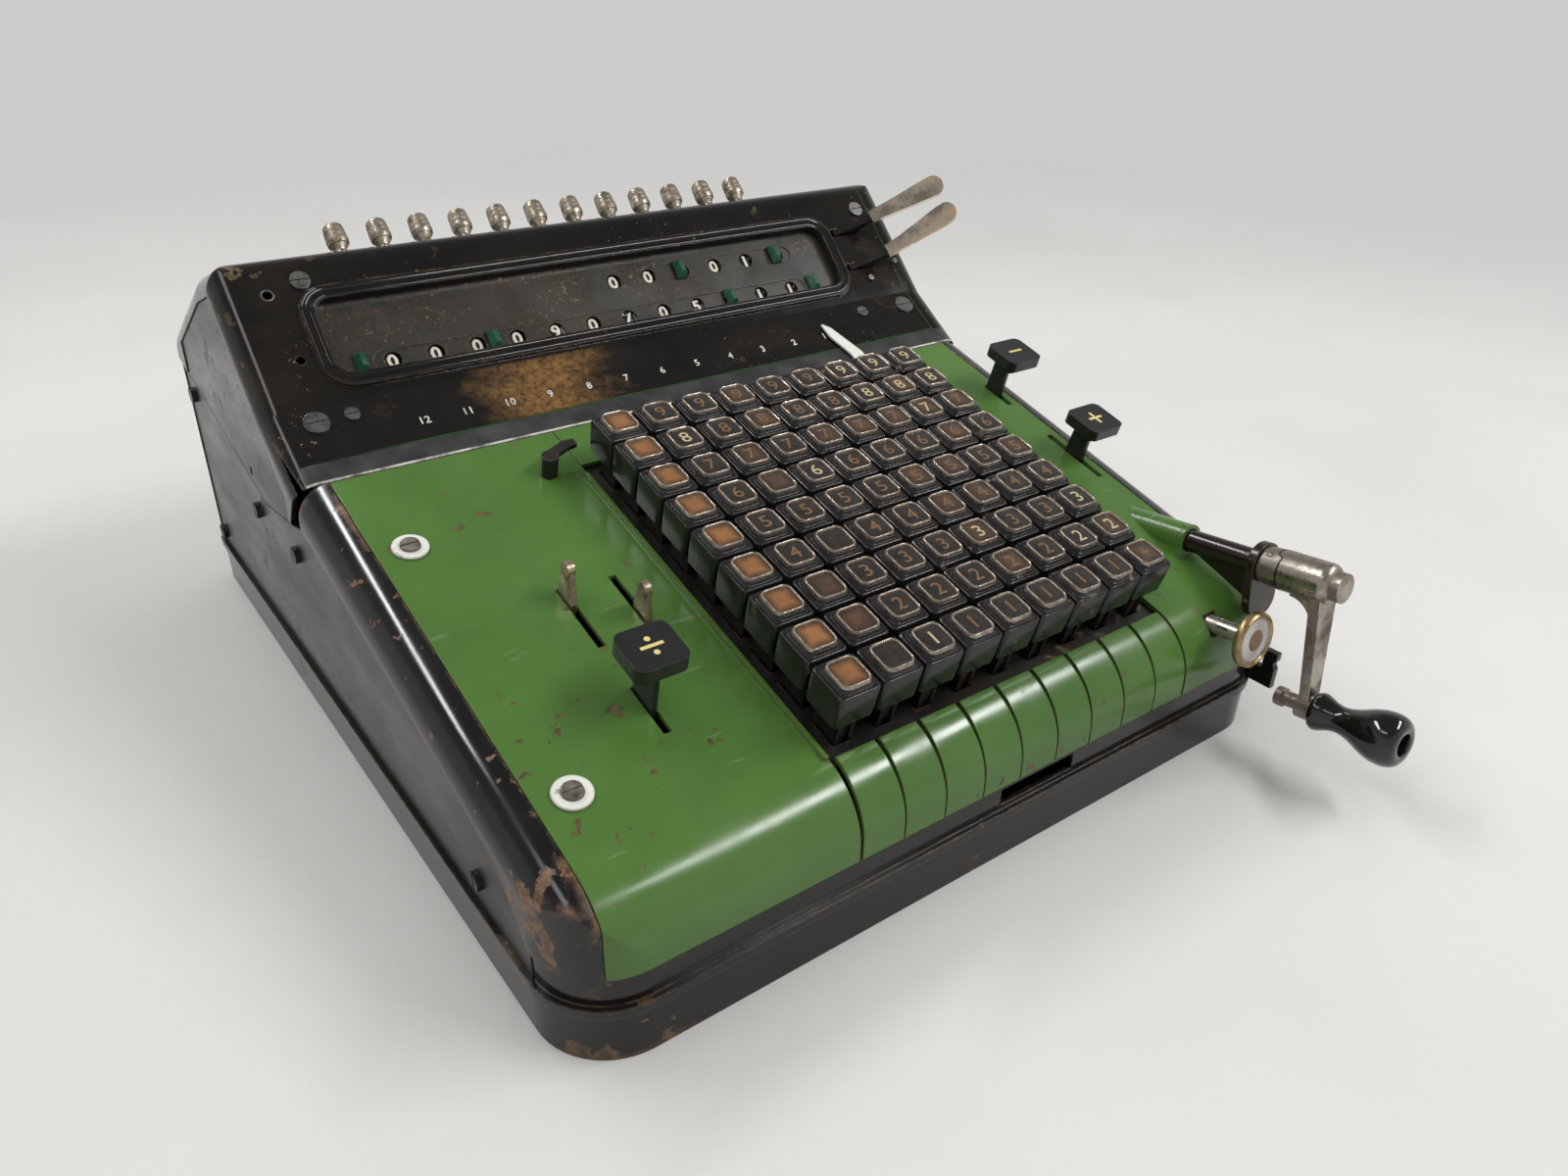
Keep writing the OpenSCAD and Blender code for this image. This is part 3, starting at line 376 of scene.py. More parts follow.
def label_edge(t):
    """Painted shade under each key's raised rim: 0 in the middle of the label, 1 along its border.
    """
    away = []
    for k, step in ((0, PITCH), (1, KEY_PITCH_Y)):
        place = t.math("FLOORED_MODULO", t.local(KEY_CORNER, k), step)
        away.append(t.math("ABSOLUTE", t.math("SUBTRACT", place, step / 2)))
    far = t.plus(t.most(*away), t.ramp(t.noise(300, 3), 0.3, 0.7, -0.0006, 0.0006))
    return t.ramp(far, 0.0022, 0.0050)


def clutch_line(t, color, m):
    """Dark stepped line where the crank's two halves meet, drawn round the hub."""
    step = t.ramp(t.local(CRANK, 0), -0.0045, -0.0030, 0.0072, 0.0048)
    gap = t.math("ABSOLUTE", t.math("SUBTRACT", t.local(CRANK, 2), step))
    line = t.times(t.fall(gap, 0.00028, 0.00042), t.ramp(t.local(CRANK, 1), -0.011, -0.010))
    return t.mix(line, color, GROOVE), m


def finger_parts(t, color, m):
    """Black blade up to the root of the bright finger."""
    past_root = t.local(finger_frame(FINGER_X + 0.0005, 0), 0)
    dark = t.fall(past_root, -0.0003, 0.0003)
    bright = t.math("SUBTRACT", 1.0, dark)
    tint = t.ramp(t.noise(45, 3), 0.45, 0.6, 0.0, 0.6)
    color = t.mix(t.times(tint, bright), color, TARNISH)
    return t.mix(dark, color, BLADE), t.times(m, bright)


def deck_screws(t, color, m):
    """The screws on the deck have lost their black."""
    bare = t.times(t.ramp(t.local(DECK, 2), -0.0008, -0.0004),
                   t.ramp(t.noise(240, 4), 0.3, 0.6, 0.4, 1.0))
    return t.mix(bare, color, SCREW_STEEL), m


def scale_plate(t, color, r):
    """Worn gold-brown patch on the scale; a painted reflection of the green deck as a line round
    it, the dull flange below it painted grey as a painted reflection of the bright surroundings,
    and a painted highlight along the flange's lower edge.
    """
    x, up = t.local(LIP, 0), t.local(LIP, 1)
    on = t.times(t.ramp(t.local(LIP, 2), -0.0013, -0.0009),
                 t.fall(up, SCALE_HIGH - 0.0005, SCALE_HIGH + 0.0005))
    streak = t.noise(75, 6, 0.72, STRETCH_X)
    wide = t.times(t.ramp(x, -0.098, -0.066), t.fall(x, -0.050, -0.010))
    gold = t.times(on, t.ramp(t.plus(t.times(wide, 0.55), streak), 0.62, 1.12),
                   t.ramp(up, SCALE_LOW, SCALE_LOW + 0.002))
    gold = t.times(gold, t.ramp(t.noise(330, 5, 0.75), 0.36, 0.62, 0.2, 0.95))
    tan = t.times(t.ramp(t.noise(26, 6, 0.68, STRETCH_X), 0.55, 0.75), 0.5)
    color = t.mix(gold, t.mix(tan, color, SCALE_TAN), SCALE_GOLD)
    speck = t.times(t.ramp(t.noise(420, 3, 0.6), 0.66, 0.70), t.ramp(t.noise(22, 3), 0.52, 0.6))
    color = t.mix(t.times(speck, 0.7), color, SCALE_SPECK)
    # Painted reflection: the flange is painted a lighter grey for the bright surroundings it
    # mirrors
    flange = t.times(on, t.fall(up, SCALE_LOW - 0.0001, SCALE_LOW + 0.0001))
    color = t.mix(flange, color, t.mix(t.ramp(t.noise(80, 4), 0.4, 0.7), FLANGE_SHEEN_DARK, FLANGE_SHEEN_PALE))
    r = t.plus(r, t.times(flange, 0.18))
    # Painted reflection of the green deck: a broken line along the scale's lower edge and up its
    # right end
    line = t.times(on, t.band(up, *LINE_UP), t.ramp(x, -0.142, -0.120),
                   t.fall(x, 0.1570, 0.1572), t.ramp(t.noise(70, 4, 0.6), 0.32, 0.42))
    side = t.times(t.band(x, *LINE_SIDE), t.ramp(up, LINE_UP[0], LINE_UP[0] + 0.0001))
    color = t.mix(t.most(line, side), color, REFLECTED_DECK_GREEN)
    # Painted highlight: a pale broken line along the flange's lower edge
    edge = t.times(on, t.fall(up, 0.0007, 0.0012), t.ramp(t.noise(120, 4, 0.7), 0.30, 0.55))
    return t.mix(edge, color, EDGE_HIGHLIGHT), r


def window_dust(t, color, r):
    """Golden specks where the black has worn thin, mostly on the left half above the lower row."""
    zone = t.times(t.ramp(t.local(FACE, 0), -0.02, 0.03, 1.0, 0.35),
                   t.ramp(t.local(FACE, 1), 0.020, 0.036, 0.35, 1.0),
                   t.ramp(t.noise(45, 5, 0.7, STRETCH_X), 0.45, 0.62))
    color = t.mix(t.times(zone, t.ramp(t.noise(180, 4), 0.35, 0.65)), color, DUST_BROWN)
    fine = t.ramp(t.noise(520, 3, 0.65), 0.60, 0.66)
    return t.mix(t.times(zone, fine), color, DUST_GOLD), r


def plate_marks(t, color, r):
    """Brown scuffs beside the lever slots and a few deep scratches in the green."""
    zone = t.times(t.band(t.local(DECK, 0), -0.125, -0.070, 0.01),
                   t.band(t.local(DECK, 1), 0.045, 0.150, 0.01))
    scuff = t.times(t.ramp(t.noise(95, 5, 0.7), 0.655, 0.675), zone)
    color = t.mix(t.times(scuff, 0.8), color, SCUFF_BROWN)
    hair = t.ramp(t.noise(260, 2, 0.5, SCRATCH_X), 0.715, 0.73)
    return t.mix(t.times(hair, 0.35), color, SCRATCH_PALE), r


def border_place(t):
    """Where the left border has lost its enamel: at its front corner and by the carriage."""
    y = t.local(FRONT, 1)
    near = t.most(t.band(y, 0.004, 0.050, 0.012), t.times(t.band(y, 0.165, 0.215, 0.02), 0.9))
    return t.times(near, t.fall(t.local(FRONT, 0), -0.12, -0.10))


def pan_place(t):
    """Where the base pan is chipped: round its front left corner."""
    return t.times(t.ramp(t.local(FRONT, 1), 0.05, 0.11, 0.85, 0.0),
                   t.fall(t.local(FRONT, 0), -0.15, -0.11))


M = {m.name: m for m in (
    enamel("green", (0.066, 0.145, 0.030), (0.050, 0.118, 0.021), (0.11, 0.055, 0.022), 0.20,
           wear=0.85, dust=0.18, chips=0.645, extra=plate_marks),
    enamel("japan", (0.0062, 0.0060, 0.0062), (0.010, 0.0085, 0.007), (0.14, 0.088, 0.04), 0.15,
           wear=0.8, dust=0.3, chips=0.63, big=0.68, place=pan_place),
    enamel("carriage", (0.0060, 0.0058, 0.0058), (0.011, 0.0085, 0.006), (0.16, 0.105, 0.05), 0.105,
           wear=0.75, dust=0.3, chips=0.62, extra=scale_plate),
    enamel("panel", (0.020, 0.020, 0.021), (0.028, 0.027, 0.027), (0.13, 0.11, 0.09), 0.30,
           wear=0.6, dust=0.5, chips=0.6),
    enamel("border", (0.0055, 0.0055, 0.006), (0.009, 0.009, 0.010), (0.19, 0.10, 0.052), 0.11,
           wear=0.9, dust=0.15, chips=0.63, big=0.635, place=border_place),
    enamel("gloss", (0.0055, 0.0055, 0.006), (0.009, 0.0085, 0.008), (0.20, 0.16, 0.12), 0.085,
           wear=0.5, dust=0.2, chips=0.66, bevel=0.0004),
    enamel("window", (0.026, 0.024, 0.021), (0.036, 0.030, 0.022), (0.28, 0.18, 0.085), 0.30,
           wear=0.5, dust=0.3, chips=0.64, bevel=0.0004, extra=window_dust),
    enamel("dull_black", (0.009, 0.009, 0.0095), (0.017, 0.013, 0.010), (0.16, 0.105, 0.045), 0.34,
           wear=0.7, dust=0.5, chips=0.58),
    enamel("brown_black", (0.014, 0.008, 0.007), (0.020, 0.012, 0.010), (0.10, 0.06, 0.04), 0.13,
           wear=0.5, dust=0.1),
    enamel("white", (0.62, 0.62, 0.57), (0.50, 0.49, 0.44), (0.12, 0.09, 0.06), 0.4, wear=0.5,
           dust=0.3),
    enamel("key", (0.0062, 0.0064, 0.0072), (0.013, 0.012, 0.0115), (0.20, 0.15, 0.115), 0.19,
           wear=0.75, dust=0.45, bevel=0.00035, chips=0.64),
    enamel("cap", (0.0085, 0.0085, 0.009), (0.014, 0.013, 0.013), (0.07, 0.06, 0.05), 0.26,
           wear=0.4, dust=0.3, bevel=0.0005, chips=0.68),
    metal("nickel", (0.56, 0.52, 0.45), (0.13, 0.075, 0.035), 0.22, 0.8),
    metal("steel", (0.55, 0.56, 0.57), (0.20, 0.17, 0.14), 0.26, 0.5),
    metal("frame", (0.28, 0.29, 0.30), (0.10, 0.08, 0.06), 0.42, 0.6),
    metal("brass", (0.42, 0.32, 0.15), (0.14, 0.09, 0.045), 0.26, 0.6),
    metal("rim", (0.44, 0.37, 0.30), (0.055, 0.040, 0.031), 0.24, 0.8, scale=300),
    metal("screw", (0.22, 0.215, 0.21), (0.045, 0.034, 0.026), 0.30, 0.75, scale=260),
    metal("dark_screw", (0.05, 0.05, 0.052), (0.02, 0.018, 0.016), 0.32, 0.6, extra=deck_screws),
    metal("stem", (0.060, 0.048, 0.040), (0.020, 0.015, 0.012), 0.42, 0.7),
    metal("hub", (0.40, 0.365, 0.31), (0.085, 0.048, 0.024), 0.22, 1.0, scale=75,
          extra=clutch_line),
    metal("knob", (0.52, 0.46, 0.37), (0.10, 0.062, 0.032), 0.28, 0.95, scale=240),
    metal("lever", (0.50, 0.41, 0.28), (0.070, 0.042, 0.022), 0.26, 0.95, scale=110),
    metal("tip", (0.80, 0.70, 0.58), (0.30, 0.17, 0.055), 0.15, 0.95, scale=42),
    metal("finger", (0.60, 0.50, 0.36), (0.20, 0.125, 0.055), 0.20, 0.6, scale=70,
          extra=finger_parts),
    plastic("label_dark", (0.016, 0.014, 0.0125), (0.034, 0.024, 0.017), 0.28, 0.6, 150, 0.2),
    # label_brown and label_tan carry a painted shade round each label, under its rim
    plastic("label_brown", (0.24, 0.108, 0.040), (0.15, 0.064, 0.026), 0.26, 0.8, 130, 0.2,
            rim=0.9),
    plastic("label_tan", (0.085, 0.045, 0.025), (0.036, 0.024, 0.016), 0.28, 0.8, 130, 0.2,
            rim=0.8),
    plastic("ink_brown", (0.16, 0.085, 0.036), (0.10, 0.052, 0.024), 0.4, 0.6, 300),
    plastic("ink_cream", (0.42, 0.35, 0.20), (0.26, 0.19, 0.10), 0.4, 0.6, 300),
    plastic("ink_yellow", (0.60, 0.50, 0.20), (0.46, 0.36, 0.13), 0.4, 0.5, 300),
    plastic("ink_white", (0.66, 0.64, 0.54), (0.48, 0.44, 0.34), 0.4, 0.6, 300),
    plastic("ink_scale", (0.66, 0.65, 0.60), (0.28, 0.25, 0.20), 0.4, 0.8, 160),
    plastic("drum", (0.010, 0.0095, 0.009), (0.030, 0.022, 0.013), 0.24, 0.6, 110, 0.2),
    plastic("marker", (0.011, 0.060, 0.030), (0.028, 0.120, 0.066), 0.18, 0.7, 220, 0.3),
    plastic("bakelite", (0.0045, 0.0045, 0.005), (0.008, 0.0075, 0.0075), 0.09, 0.5, 80, 0.3),
    plastic("pearl", (0.50, 0.46, 0.43), (0.34, 0.31, 0.30), 0.22, 0.7, 160, 0.3),
    plastic("brown_spot", (0.20, 0.12, 0.06), (0.12, 0.075, 0.04), 0.35, 0.7, 260),
)}

# ---------- mesh helpers ----------


def new_piece(name, bm, body, mats, sharp=35.0):
    """Turns a bmesh in the model's frame (metres) into a piece that rides on a body."""
    bmesh.ops.recalc_face_normals(bm, faces=bm.faces)
    limit = math.radians(sharp)
    for e in bm.edges:
        e.smooth = len(e.link_faces) == 2 and e.calc_face_angle(0.0) < limit
    for f in bm.faces:
        f.smooth = True
    mesh = bpy.data.meshes.new(name)
    bm.to_mesh(mesh)
    bm.free()
    o = bpy.data.objects.new(name, mesh)
    bpy.context.scene.collection.objects.link(o)
    for m in mats if isinstance(mats, list) else [mats]:
        mesh.materials.append(m)
    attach(o, body)
    return o


def rect_loop(w, l, r, n=5):
    """Points of a rounded rectangle, anticlockwise."""
    pts = []
    for cx, cy, a0 in ((1, 1, 0), (-1, 1, 90), (-1, -1, 180), (1, -1, 270)):
        for i in range(n + 1):
            a = math.radians(a0 + 90 * i / n)
            pts.append((cx * (w / 2 - r) + r * math.cos(a), cy * (l / 2 - r) + r * math.sin(a)))
    return pts


def ring_loop(r, n):
    return [(r * math.cos(a), r * math.sin(a)) for a in (2 * math.pi * i / n for i in range(n))]


def loft(bm, levels, where, closed=False, mat=0):
    """Skins loops of equal length, given as (points, z), and closes both ends with flat faces."""
    rows = [[bm.verts.new(where @ Vector((x, y, z))) for x, y in pts] for pts, z in levels]
    n = len(rows[0])
    pairs = list(zip(rows, rows[1:])) + ([(rows[-1], rows[0])] if closed else [])
    faces = []
    for a, b in pairs:
        for i in range(n):
            faces.append(bm.faces.new((a[i], a[(i + 1) % n], b[(i + 1) % n], b[i])))
    if not closed:
        faces.append(bm.faces.new(rows[0][::-1]))
        faces.append(bm.faces.new(rows[-1]))
    for f in faces:
        f.material_index = mat
    return faces


def lathe(bm, profile, where, n):
    """Revolves (radius, z) points about Z and closes both ends."""
    loft(bm, [(ring_loop(r, n), z) for r, z in profile], where)


def ring(bm, profile, where, n):
    """Revolves a closed loop of (radius, z) points about Z."""
    loft(bm, [(ring_loop(r, n), z) for r, z in profile], where, closed=True)


def lathed(name, profile, where, n, body, mat, sharp):
    """A piece that is one lathe profile."""
    bm = bmesh.new()
    lathe(bm, profile, where, n)
    new_piece(name, bm, body, M[mat], sharp)


def prism(bm, pts, z0, z1, where, bevel):
    """Extrudes an outline along Z, with rounded edges where bevel is given."""
    faces = loft(bm, [(pts, z0), (pts, z1)], where)
    if bevel:
        edges = list({e for f in faces for e in f.edges if e.calc_face_angle(0.0) > 0.5})
        bmesh.ops.bevel(bm, geom=edges, offset=bevel, segments=2, profile=0.6, affect="EDGES")


def box(bm, x0, x1, y0, y1, z0, z1, where, bevel=0.0):
    prism(bm, [(x1, y1), (x0, y1), (x0, y0), (x1, y0)], z0, z1, where, bevel)


CAP_HEIGHT = 0.70
INK_THICK = 0.00012
SIGN_THICK = 0.00015


def glyph(text, height, bold):
    """Mesh of a character of the built-in font, centred on the origin, in metres."""
    curve = bpy.data.curves.new("glyph", "FONT")
    curve.body = text
    curve.size = 1.0
    curve.resolution_u = 3
    curve.offset = bold
    curve.fill_mode = "FRONT"
    o = bpy.data.objects.new("glyph", curve)
    bpy.context.scene.collection.objects.link(o)
    bpy.context.view_layer.update()
    mesh = bpy.data.meshes.new_from_object(o.evaluated_get(bpy.context.evaluated_depsgraph_get()))
    bpy.data.objects.remove(o)
    bpy.data.curves.remove(curve)
    bm = bmesh.new()
    bm.from_mesh(mesh)
    bpy.data.meshes.remove(mesh)
    xs = [v.co.x for v in bm.verts]
    ys = [v.co.y for v in bm.verts]
    k = height / CAP_HEIGHT
    mid = Vector(((min(xs) + max(xs)) / 2, (min(ys) + max(ys)) / 2, 0))
    for v in bm.verts:
        v.co = (v.co - mid) * k
    bmesh.ops.remove_doubles(bm, verts=bm.verts, dist=0.000002)
    geo = bmesh.ops.extrude_face_region(bm, geom=list(bm.faces))
    for g in geo["geom"]:
        if isinstance(g, bmesh.types.BMVert):
            g.co.z += INK_THICK
    out = bpy.data.meshes.new("glyph_" + text)
    bm.to_mesh(out)
    bm.free()
    return out


GLYPHS = {}


def stamp(bm, text, height, where, mat, bold, bend=None, wide=1.0):
    """Adds a character to bm, bent round the Y axis on radius bend if given."""
    key = (text, height, bold)
    if key not in GLYPHS:
        GLYPHS[key] = glyph(*key)
    first_v, first_f = len(bm.verts), len(bm.faces)
    bm.from_mesh(GLYPHS[key])
    bm.verts.ensure_lookup_table()
    bm.faces.ensure_lookup_table()
    for v in bm.verts[first_v:]:
        x, y, z = v.co
        x *= wide
        if bend:
            a = x / bend
            x, z = (bend + z) * math.sin(a), (bend + z) * math.cos(a)
        v.co = where @ Vector((x, y, z))
    for f in bm.faces[first_f:]:
        f.material_index = mat


# ---------- CAD nodes and their materials ----------

BY_NODE = {
    "base_pan": "japan", "left_side_cover": "panel", "right_side_cover": "panel",
    "rear_cover": "panel", "border_rails": "border", "left_cover_plate": "green",
    "right_cover_plate": "green", "comb_strips": "green", "key_guide_plate": "dull_black",
    "inner_frame": "frame", "carriage_rails": "steel", "crank_bearing": "brown_black",
    "scale_pointer": "white", "body_screws": "dark_screw", "carriage_cover": "carriage",
    "window_plate": "window", "carriage_end_plates": "panel", "carriage_chassis": "frame",
    "carriage_screws": "screw", "lower_markers": "marker", "upper_markers": "marker",
    "setting_lever_left": "lever", "setting_lever_right": "lever", "function_key": "cap",
    "shift_key": "cap", "add_key": "cap", "release_arm": "dull_black",
    "clearing_lever_front": "finger", "clearing_lever_rear": "finger", "crank_arm": "hub",
    "drive_shaft": "steel", "crank_handle": "bakelite", "push_button": "nickel",
}
for name, o in nodes.items():
    m = M[BY_NODE.get(name, "drum" if "dial" in name else "key")]
    if not o.material_slots:
        o.data.materials.append(m)
    for s in o.material_slots:
        s.material = m

# ---------- keys ----------

LABELS = random.Random(7)
LABEL_TOP = 0.02575
WARM_FIRST = 0.06
WARM_STEP = 0.035
CREAM_SHARE = 0.12


def key_cap(bm, where):
    """Skirted cap with bevelled shoulders that rise to the label's seat."""
    levels = [(0.0163, 0.0022, 0.0098), (0.0170, 0.0020, 0.0102), (0.0173, 0.0019, 0.0150),
              (0.0173, 0.0019, 0.0229), (0.0170, 0.0019, 0.0234), (0.0164, 0.0020, 0.0237),
              (0.0144, 0.0028, 0.0239), (0.0139, 0.0029, 0.0243), (0.0134, 0.0030, 0.0249),
              (0.0130, 0.0030, 0.0251), (0.0100, 0.0022, 0.0250)]
    loft(bm, [(rect_loop(w, w, r), z) for w, r, z in levels], where)


def key_rim(bm, where):
    levels = [(0.0130, 0.0032, 0.0249), (0.0128, 0.0032, 0.0257), (0.0124, 0.0030, 0.0262),
              (0.0118, 0.0027, 0.0264), (0.0111, 0.0024, 0.0262), (0.0107, 0.0022, 0.0257),
              (0.0107, 0.0022, 0.0249)]
    loft(bm, [(rect_loop(w, w, r, 6), z) for w, r, z in levels], where, closed=True)


def key_label(bm, where, mat):
    levels = [(0.0108, 0.0022, 0.0251), (0.0106, 0.0021, 0.02565), (0.0070, 0.0018, 0.0258),
              (0.0030, 0.0010, 0.02585)]
    loft(bm, [(rect_loop(w, w, r), z) for w, r, z in levels], where, mat=mat)


def key_stem(bm, where):
    """Two plates with a core between them."""
    for x0, x1, y in ((-0.0036, -0.0022, 0.0061), (0.0022, 0.0036, 0.0061),
                      (-0.0022, 0.0022, 0.0052)):
        box(bm, x0, x1, -y, y, -0.0098, 0.0104, where, 0.0002)


def blank(c, r):
    """The first column and some keys by it carry no figure that can be read."""
    return c == 0 or (c == 1 and r < 3) or (c == 2 and r in (3, 5))


for c in range(9):
    body = f"key_column_body_{c + 1}"
    caps, rims, labels, marks, stems = (bmesh.new() for _ in range(5))
    for r in range(9):
        where = DECK @ at(KEY_X0 + c * PITCH, KEY_Y0 + r * KEY_PITCH_Y)
        key_cap(caps, where)
        key_rim(rims, where)
        key_stem(stems, where)
        warm = LABELS.random() < WARM_FIRST + WARM_STEP * c
        key_label(labels, where, 1 if c == 0 else 2 if warm else 0)
        top = where @ at(0, 0, LABEL_TOP)
        if c == 8 and r == 0:
            stamp(marks, "+", 0.0062, top, 0, 0.01)
        elif not blank(c, r):
            cream = LABELS.random() < CREAM_SHARE or (r > 6 and c > 5)
            stamp(marks, str(r + 1), 0.0060, top, int(cream), 0.008, wide=1.1)
    piece = new_piece(f"key_caps_{c + 1}", caps, body, M["key"], 24)
    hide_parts(f"key_column_{c + 1}")
    new_piece(f"key_rims_{c + 1}", rims, body, M["rim"], 60)
    new_piece(f"key_labels_{c + 1}", labels, body,
              [M["label_dark"], M["label_brown"], M["label_tan"]], 60)
    new_piece(f"key_stems_{c + 1}", stems, body, M["stem"])
    if c > 0:
        new_piece(f"key_digits_{c + 1}", marks, body,
                  [M["ink_brown"], M["ink_cream"]])
    else:
        marks.free()

# ---------- dials ----------

SHOWN = [0, 0, 0, 0, 9, 0, 7, 0, 5, 3, 1, 1]
COUNTED = [0, 0, 4, 0, 1, 6]
FIRST_COUNTER = 6
DRUM_R = 0.0083
DRUM_H = 0.00475
KNOB_START = 0.0602
KNOB_LENGTH = 0.0098
KNURL_DEPTH = 0.00024


def drum(bm, where, lead):
    """Number drum with rolled edges and ten figures, of which lead faces the window."""
    half = [(0.0021, DRUM_H), (0.0074, DRUM_H), (0.0081, DRUM_H - 0.0003),
            (DRUM_R - 0.0001, DRUM_H - 0.0009)]
    lathe(bm, [(r, -z) for r, z in half] + half[::-1], where, 40)
    for d in range(10):
        # Figures read upright up the face, with their faces turned out of it
        stamp(bm, str(d), 0.0056, where @ turn(36 * (d - lead), "Z") @ turn(90, "X"), 1, 0.03,
              bend=DRUM_R - 0.00006, wide=1.12)


def knob(bm, where):
    """Knurled pull knob on a turned neck."""
    lathe(bm, [(0.0020, 0.0415), (0.0020, 0.0535), (0.0030, 0.0537), (0.0031, 0.0560),
               (0.0024, 0.0570), (0.0025, 0.0580), (0.0038, 0.0598), (0.0039, 0.0602)], where, 32)
    n, rows = 56, 15
    levels = []
    for j in range(rows + 1):
        f = j / rows
        r = 0.0047 - 0.0006 * f - 0.0006 * max(0, 0.1 - f) / 0.1 - 0.0010 * max(0, f - 0.86) / 0.14
        twist = 2.2 * f * math.pi * 2
        pts = []
        for i in range(n):
            a = 2 * math.pi * i / n
            ridge = r + KNURL_DEPTH * math.cos(14 * a + twist) * math.cos(14 * a - twist)
            pts.append((ridge * math.cos(a), ridge * math.sin(a)))
        levels.append((pts, KNOB_START + KNOB_LENGTH * f))
    loft(bm, levels, where)


def dial(row, i, where, lead):
    bm = bmesh.new()
    drum(bm, where, lead)
    piece = new_piece(f"{row}_drum_{i}", bm, f"{row}_dial_body_{i}",
                      [M["drum"], M["ink_white"]])
    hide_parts(f"{row}_dial_{i}")


for i, figure in enumerate(SHOWN):
    where = dial_frame(DIAL_X0 + PITCH * i)
    dial("result", i + 1, where, figure)
    bm = bmesh.new()
    lathe(bm, [(0.0020, -0.0145), (0.0020, 0.0420)], where, 24)
    knob(bm, where)
    new_piece(f"result_knob_{i + 1}", bm, f"result_dial_body_{i + 1}",
              M["knob"], 60)
for i, figure in enumerate(COUNTED):
    where = dial_frame(DIAL_X0 + PITCH * (i + FIRST_COUNTER))
    dial("counter", i + 1, where @ at(0, 0, ROW_HIGH - ROW_LOW), figure)

# ---------- register frame and scale ----------

BEZEL_W, BEZEL_L, BEZEL_R = 0.268, 0.046, 0.013
# Two round beads with a groove between them, as inward offset and height
BEADS = [(0.0, -0.0004), (0.0002, 0.0010), (0.0010, 0.0020), (0.0021, 0.0022), (0.0029, 0.0014),
         (0.0033, 0.0010), (0.0038, 0.0014), (0.0045, 0.0020), (0.0054, 0.0018), (0.0060, 0.0008),
         (0.0061, -0.0030)]
FIGURE_STEP = 0.0026

bm = bmesh.new()
loft(bm, [(rect_loop(BEZEL_W - 2 * d, BEZEL_L - 2 * d, BEZEL_R - d, 12), z) for d, z in BEADS],
     FACE @ at(-0.008, 0.0275), closed=True)
new_piece("window_beads", bm, "carriage", M["gloss"], 70)
bm = bmesh.new()
ring(bm, [(0.0028, -0.0001), (0.0026, 0.0004), (0.0021, 0.0005), (0.0018, 0.0001),
          (0.0018, -0.0004)], FACE @ at(-0.1507, 0.0498), 32)
new_piece("face_eyelet", bm, "carriage", M["screw"], 50)

bm = bmesh.new()
for i in range(len(SHOWN)):
    text = str(len(SHOWN) - i)
    for j, ch in enumerate(text):
        x = DIAL_X0 + PITCH * i + (j - (len(text) - 1) / 2) * FIGURE_STEP
        stamp(bm, ch, 0.0034, LIP @ at(x, 0.0185), 0, 0.02)
new_piece("scale_figures", bm, "carriage", M["ink_scale"])

# ---------- washers and signs of the lever keys ----------

WASHERS = ((-0.1441, 0.1688), (-0.1441, 0.0445))
DOT_R = 0.0011

washers, rims = bmesh.new(), bmesh.new()
for x, y in WASHERS:
    lathe(washers, [(0.0036, 0.0001), (0.0066, 0.0001), (0.0068, 0.0005), (0.0066, 0.0010),
                    (0.0050, 0.0012), (0.0036, 0.0012)], DECK @ at(x, y), 40)
    ring(rims, [(0.0038, 0.0010), (0.0037, 0.0016), (0.0034, 0.0018), (0.0033, 0.0010)],
         DECK @ at(x, y), 40)
new_piece("deck_washers", washers, "machine_body", M["white"], 50)
new_piece("washer_rims", rims, "machine_body", M["screw"], 50)


def sign(key, where, bars, dots=()):
    """Bars of a width and length, and dots at a distance y, on the head of a lever key."""
    bm = bmesh.new()
    for w, l in bars:
        box(bm, -w / 2, w / 2, -l / 2, l / 2, 0.0, SIGN_THICK, where)
    for y in dots:
        lathe(bm, [(DOT_R, 0.0), (DOT_R, SIGN_THICK)], where @ at(0, y), 20)
    new_piece(f"{key}_mark", bm, f"{key}_body", M["ink_yellow"])


sign("function_key", DECK @ at(-0.1054, 0.0679, 0.0258), [(0.0085, 0.0014)], (0.0032, -0.0032))
sign("add_key", DECK @ at(0.1545, 0.112, 0.0208), [(0.0080, 0.0014), (0.0014, 0.0080)])
sign("shift_key", DECK @ at(0.1545, 0.16725, 0.0235), [(0.0080, 0.0014)])

# ---------- fingers of the clearing levers ----------

FINGER_L = 0.0355
TIP_R = 0.0055
HALF_WIDTHS = [(-0.0004, 0.0033), (0.006, 0.0034), (0.014, 0.0039), (0.023, 0.0047),
               (0.0315, 0.0054)]

for side, u, bend in (("front", 0.0190, 0.0060), ("rear", 0.0395, 0.0015)):
    low = [(x, bend * x / FINGER_L - h) for x, h in HALF_WIDTHS]
    high = [(x, bend * x / FINGER_L + h) for x, h in HALF_WIDTHS]
    tip = [(FINGER_L + TIP_R * math.cos(a), bend + TIP_R * math.sin(a))
           for a in (math.radians(-80 + 20 * k) for k in range(9))]
    bm = bmesh.new()
    prism(bm, low + tip + high[::-1], -0.0003, 0.0023, finger_frame(FINGER_X, u), 0.0005)
    new_piece(f"clearing_finger_{side}", bm, f"clearing_lever_{side}_body",
              M["tip"], 50)

# ---------- crank handle and pin, push button ----------

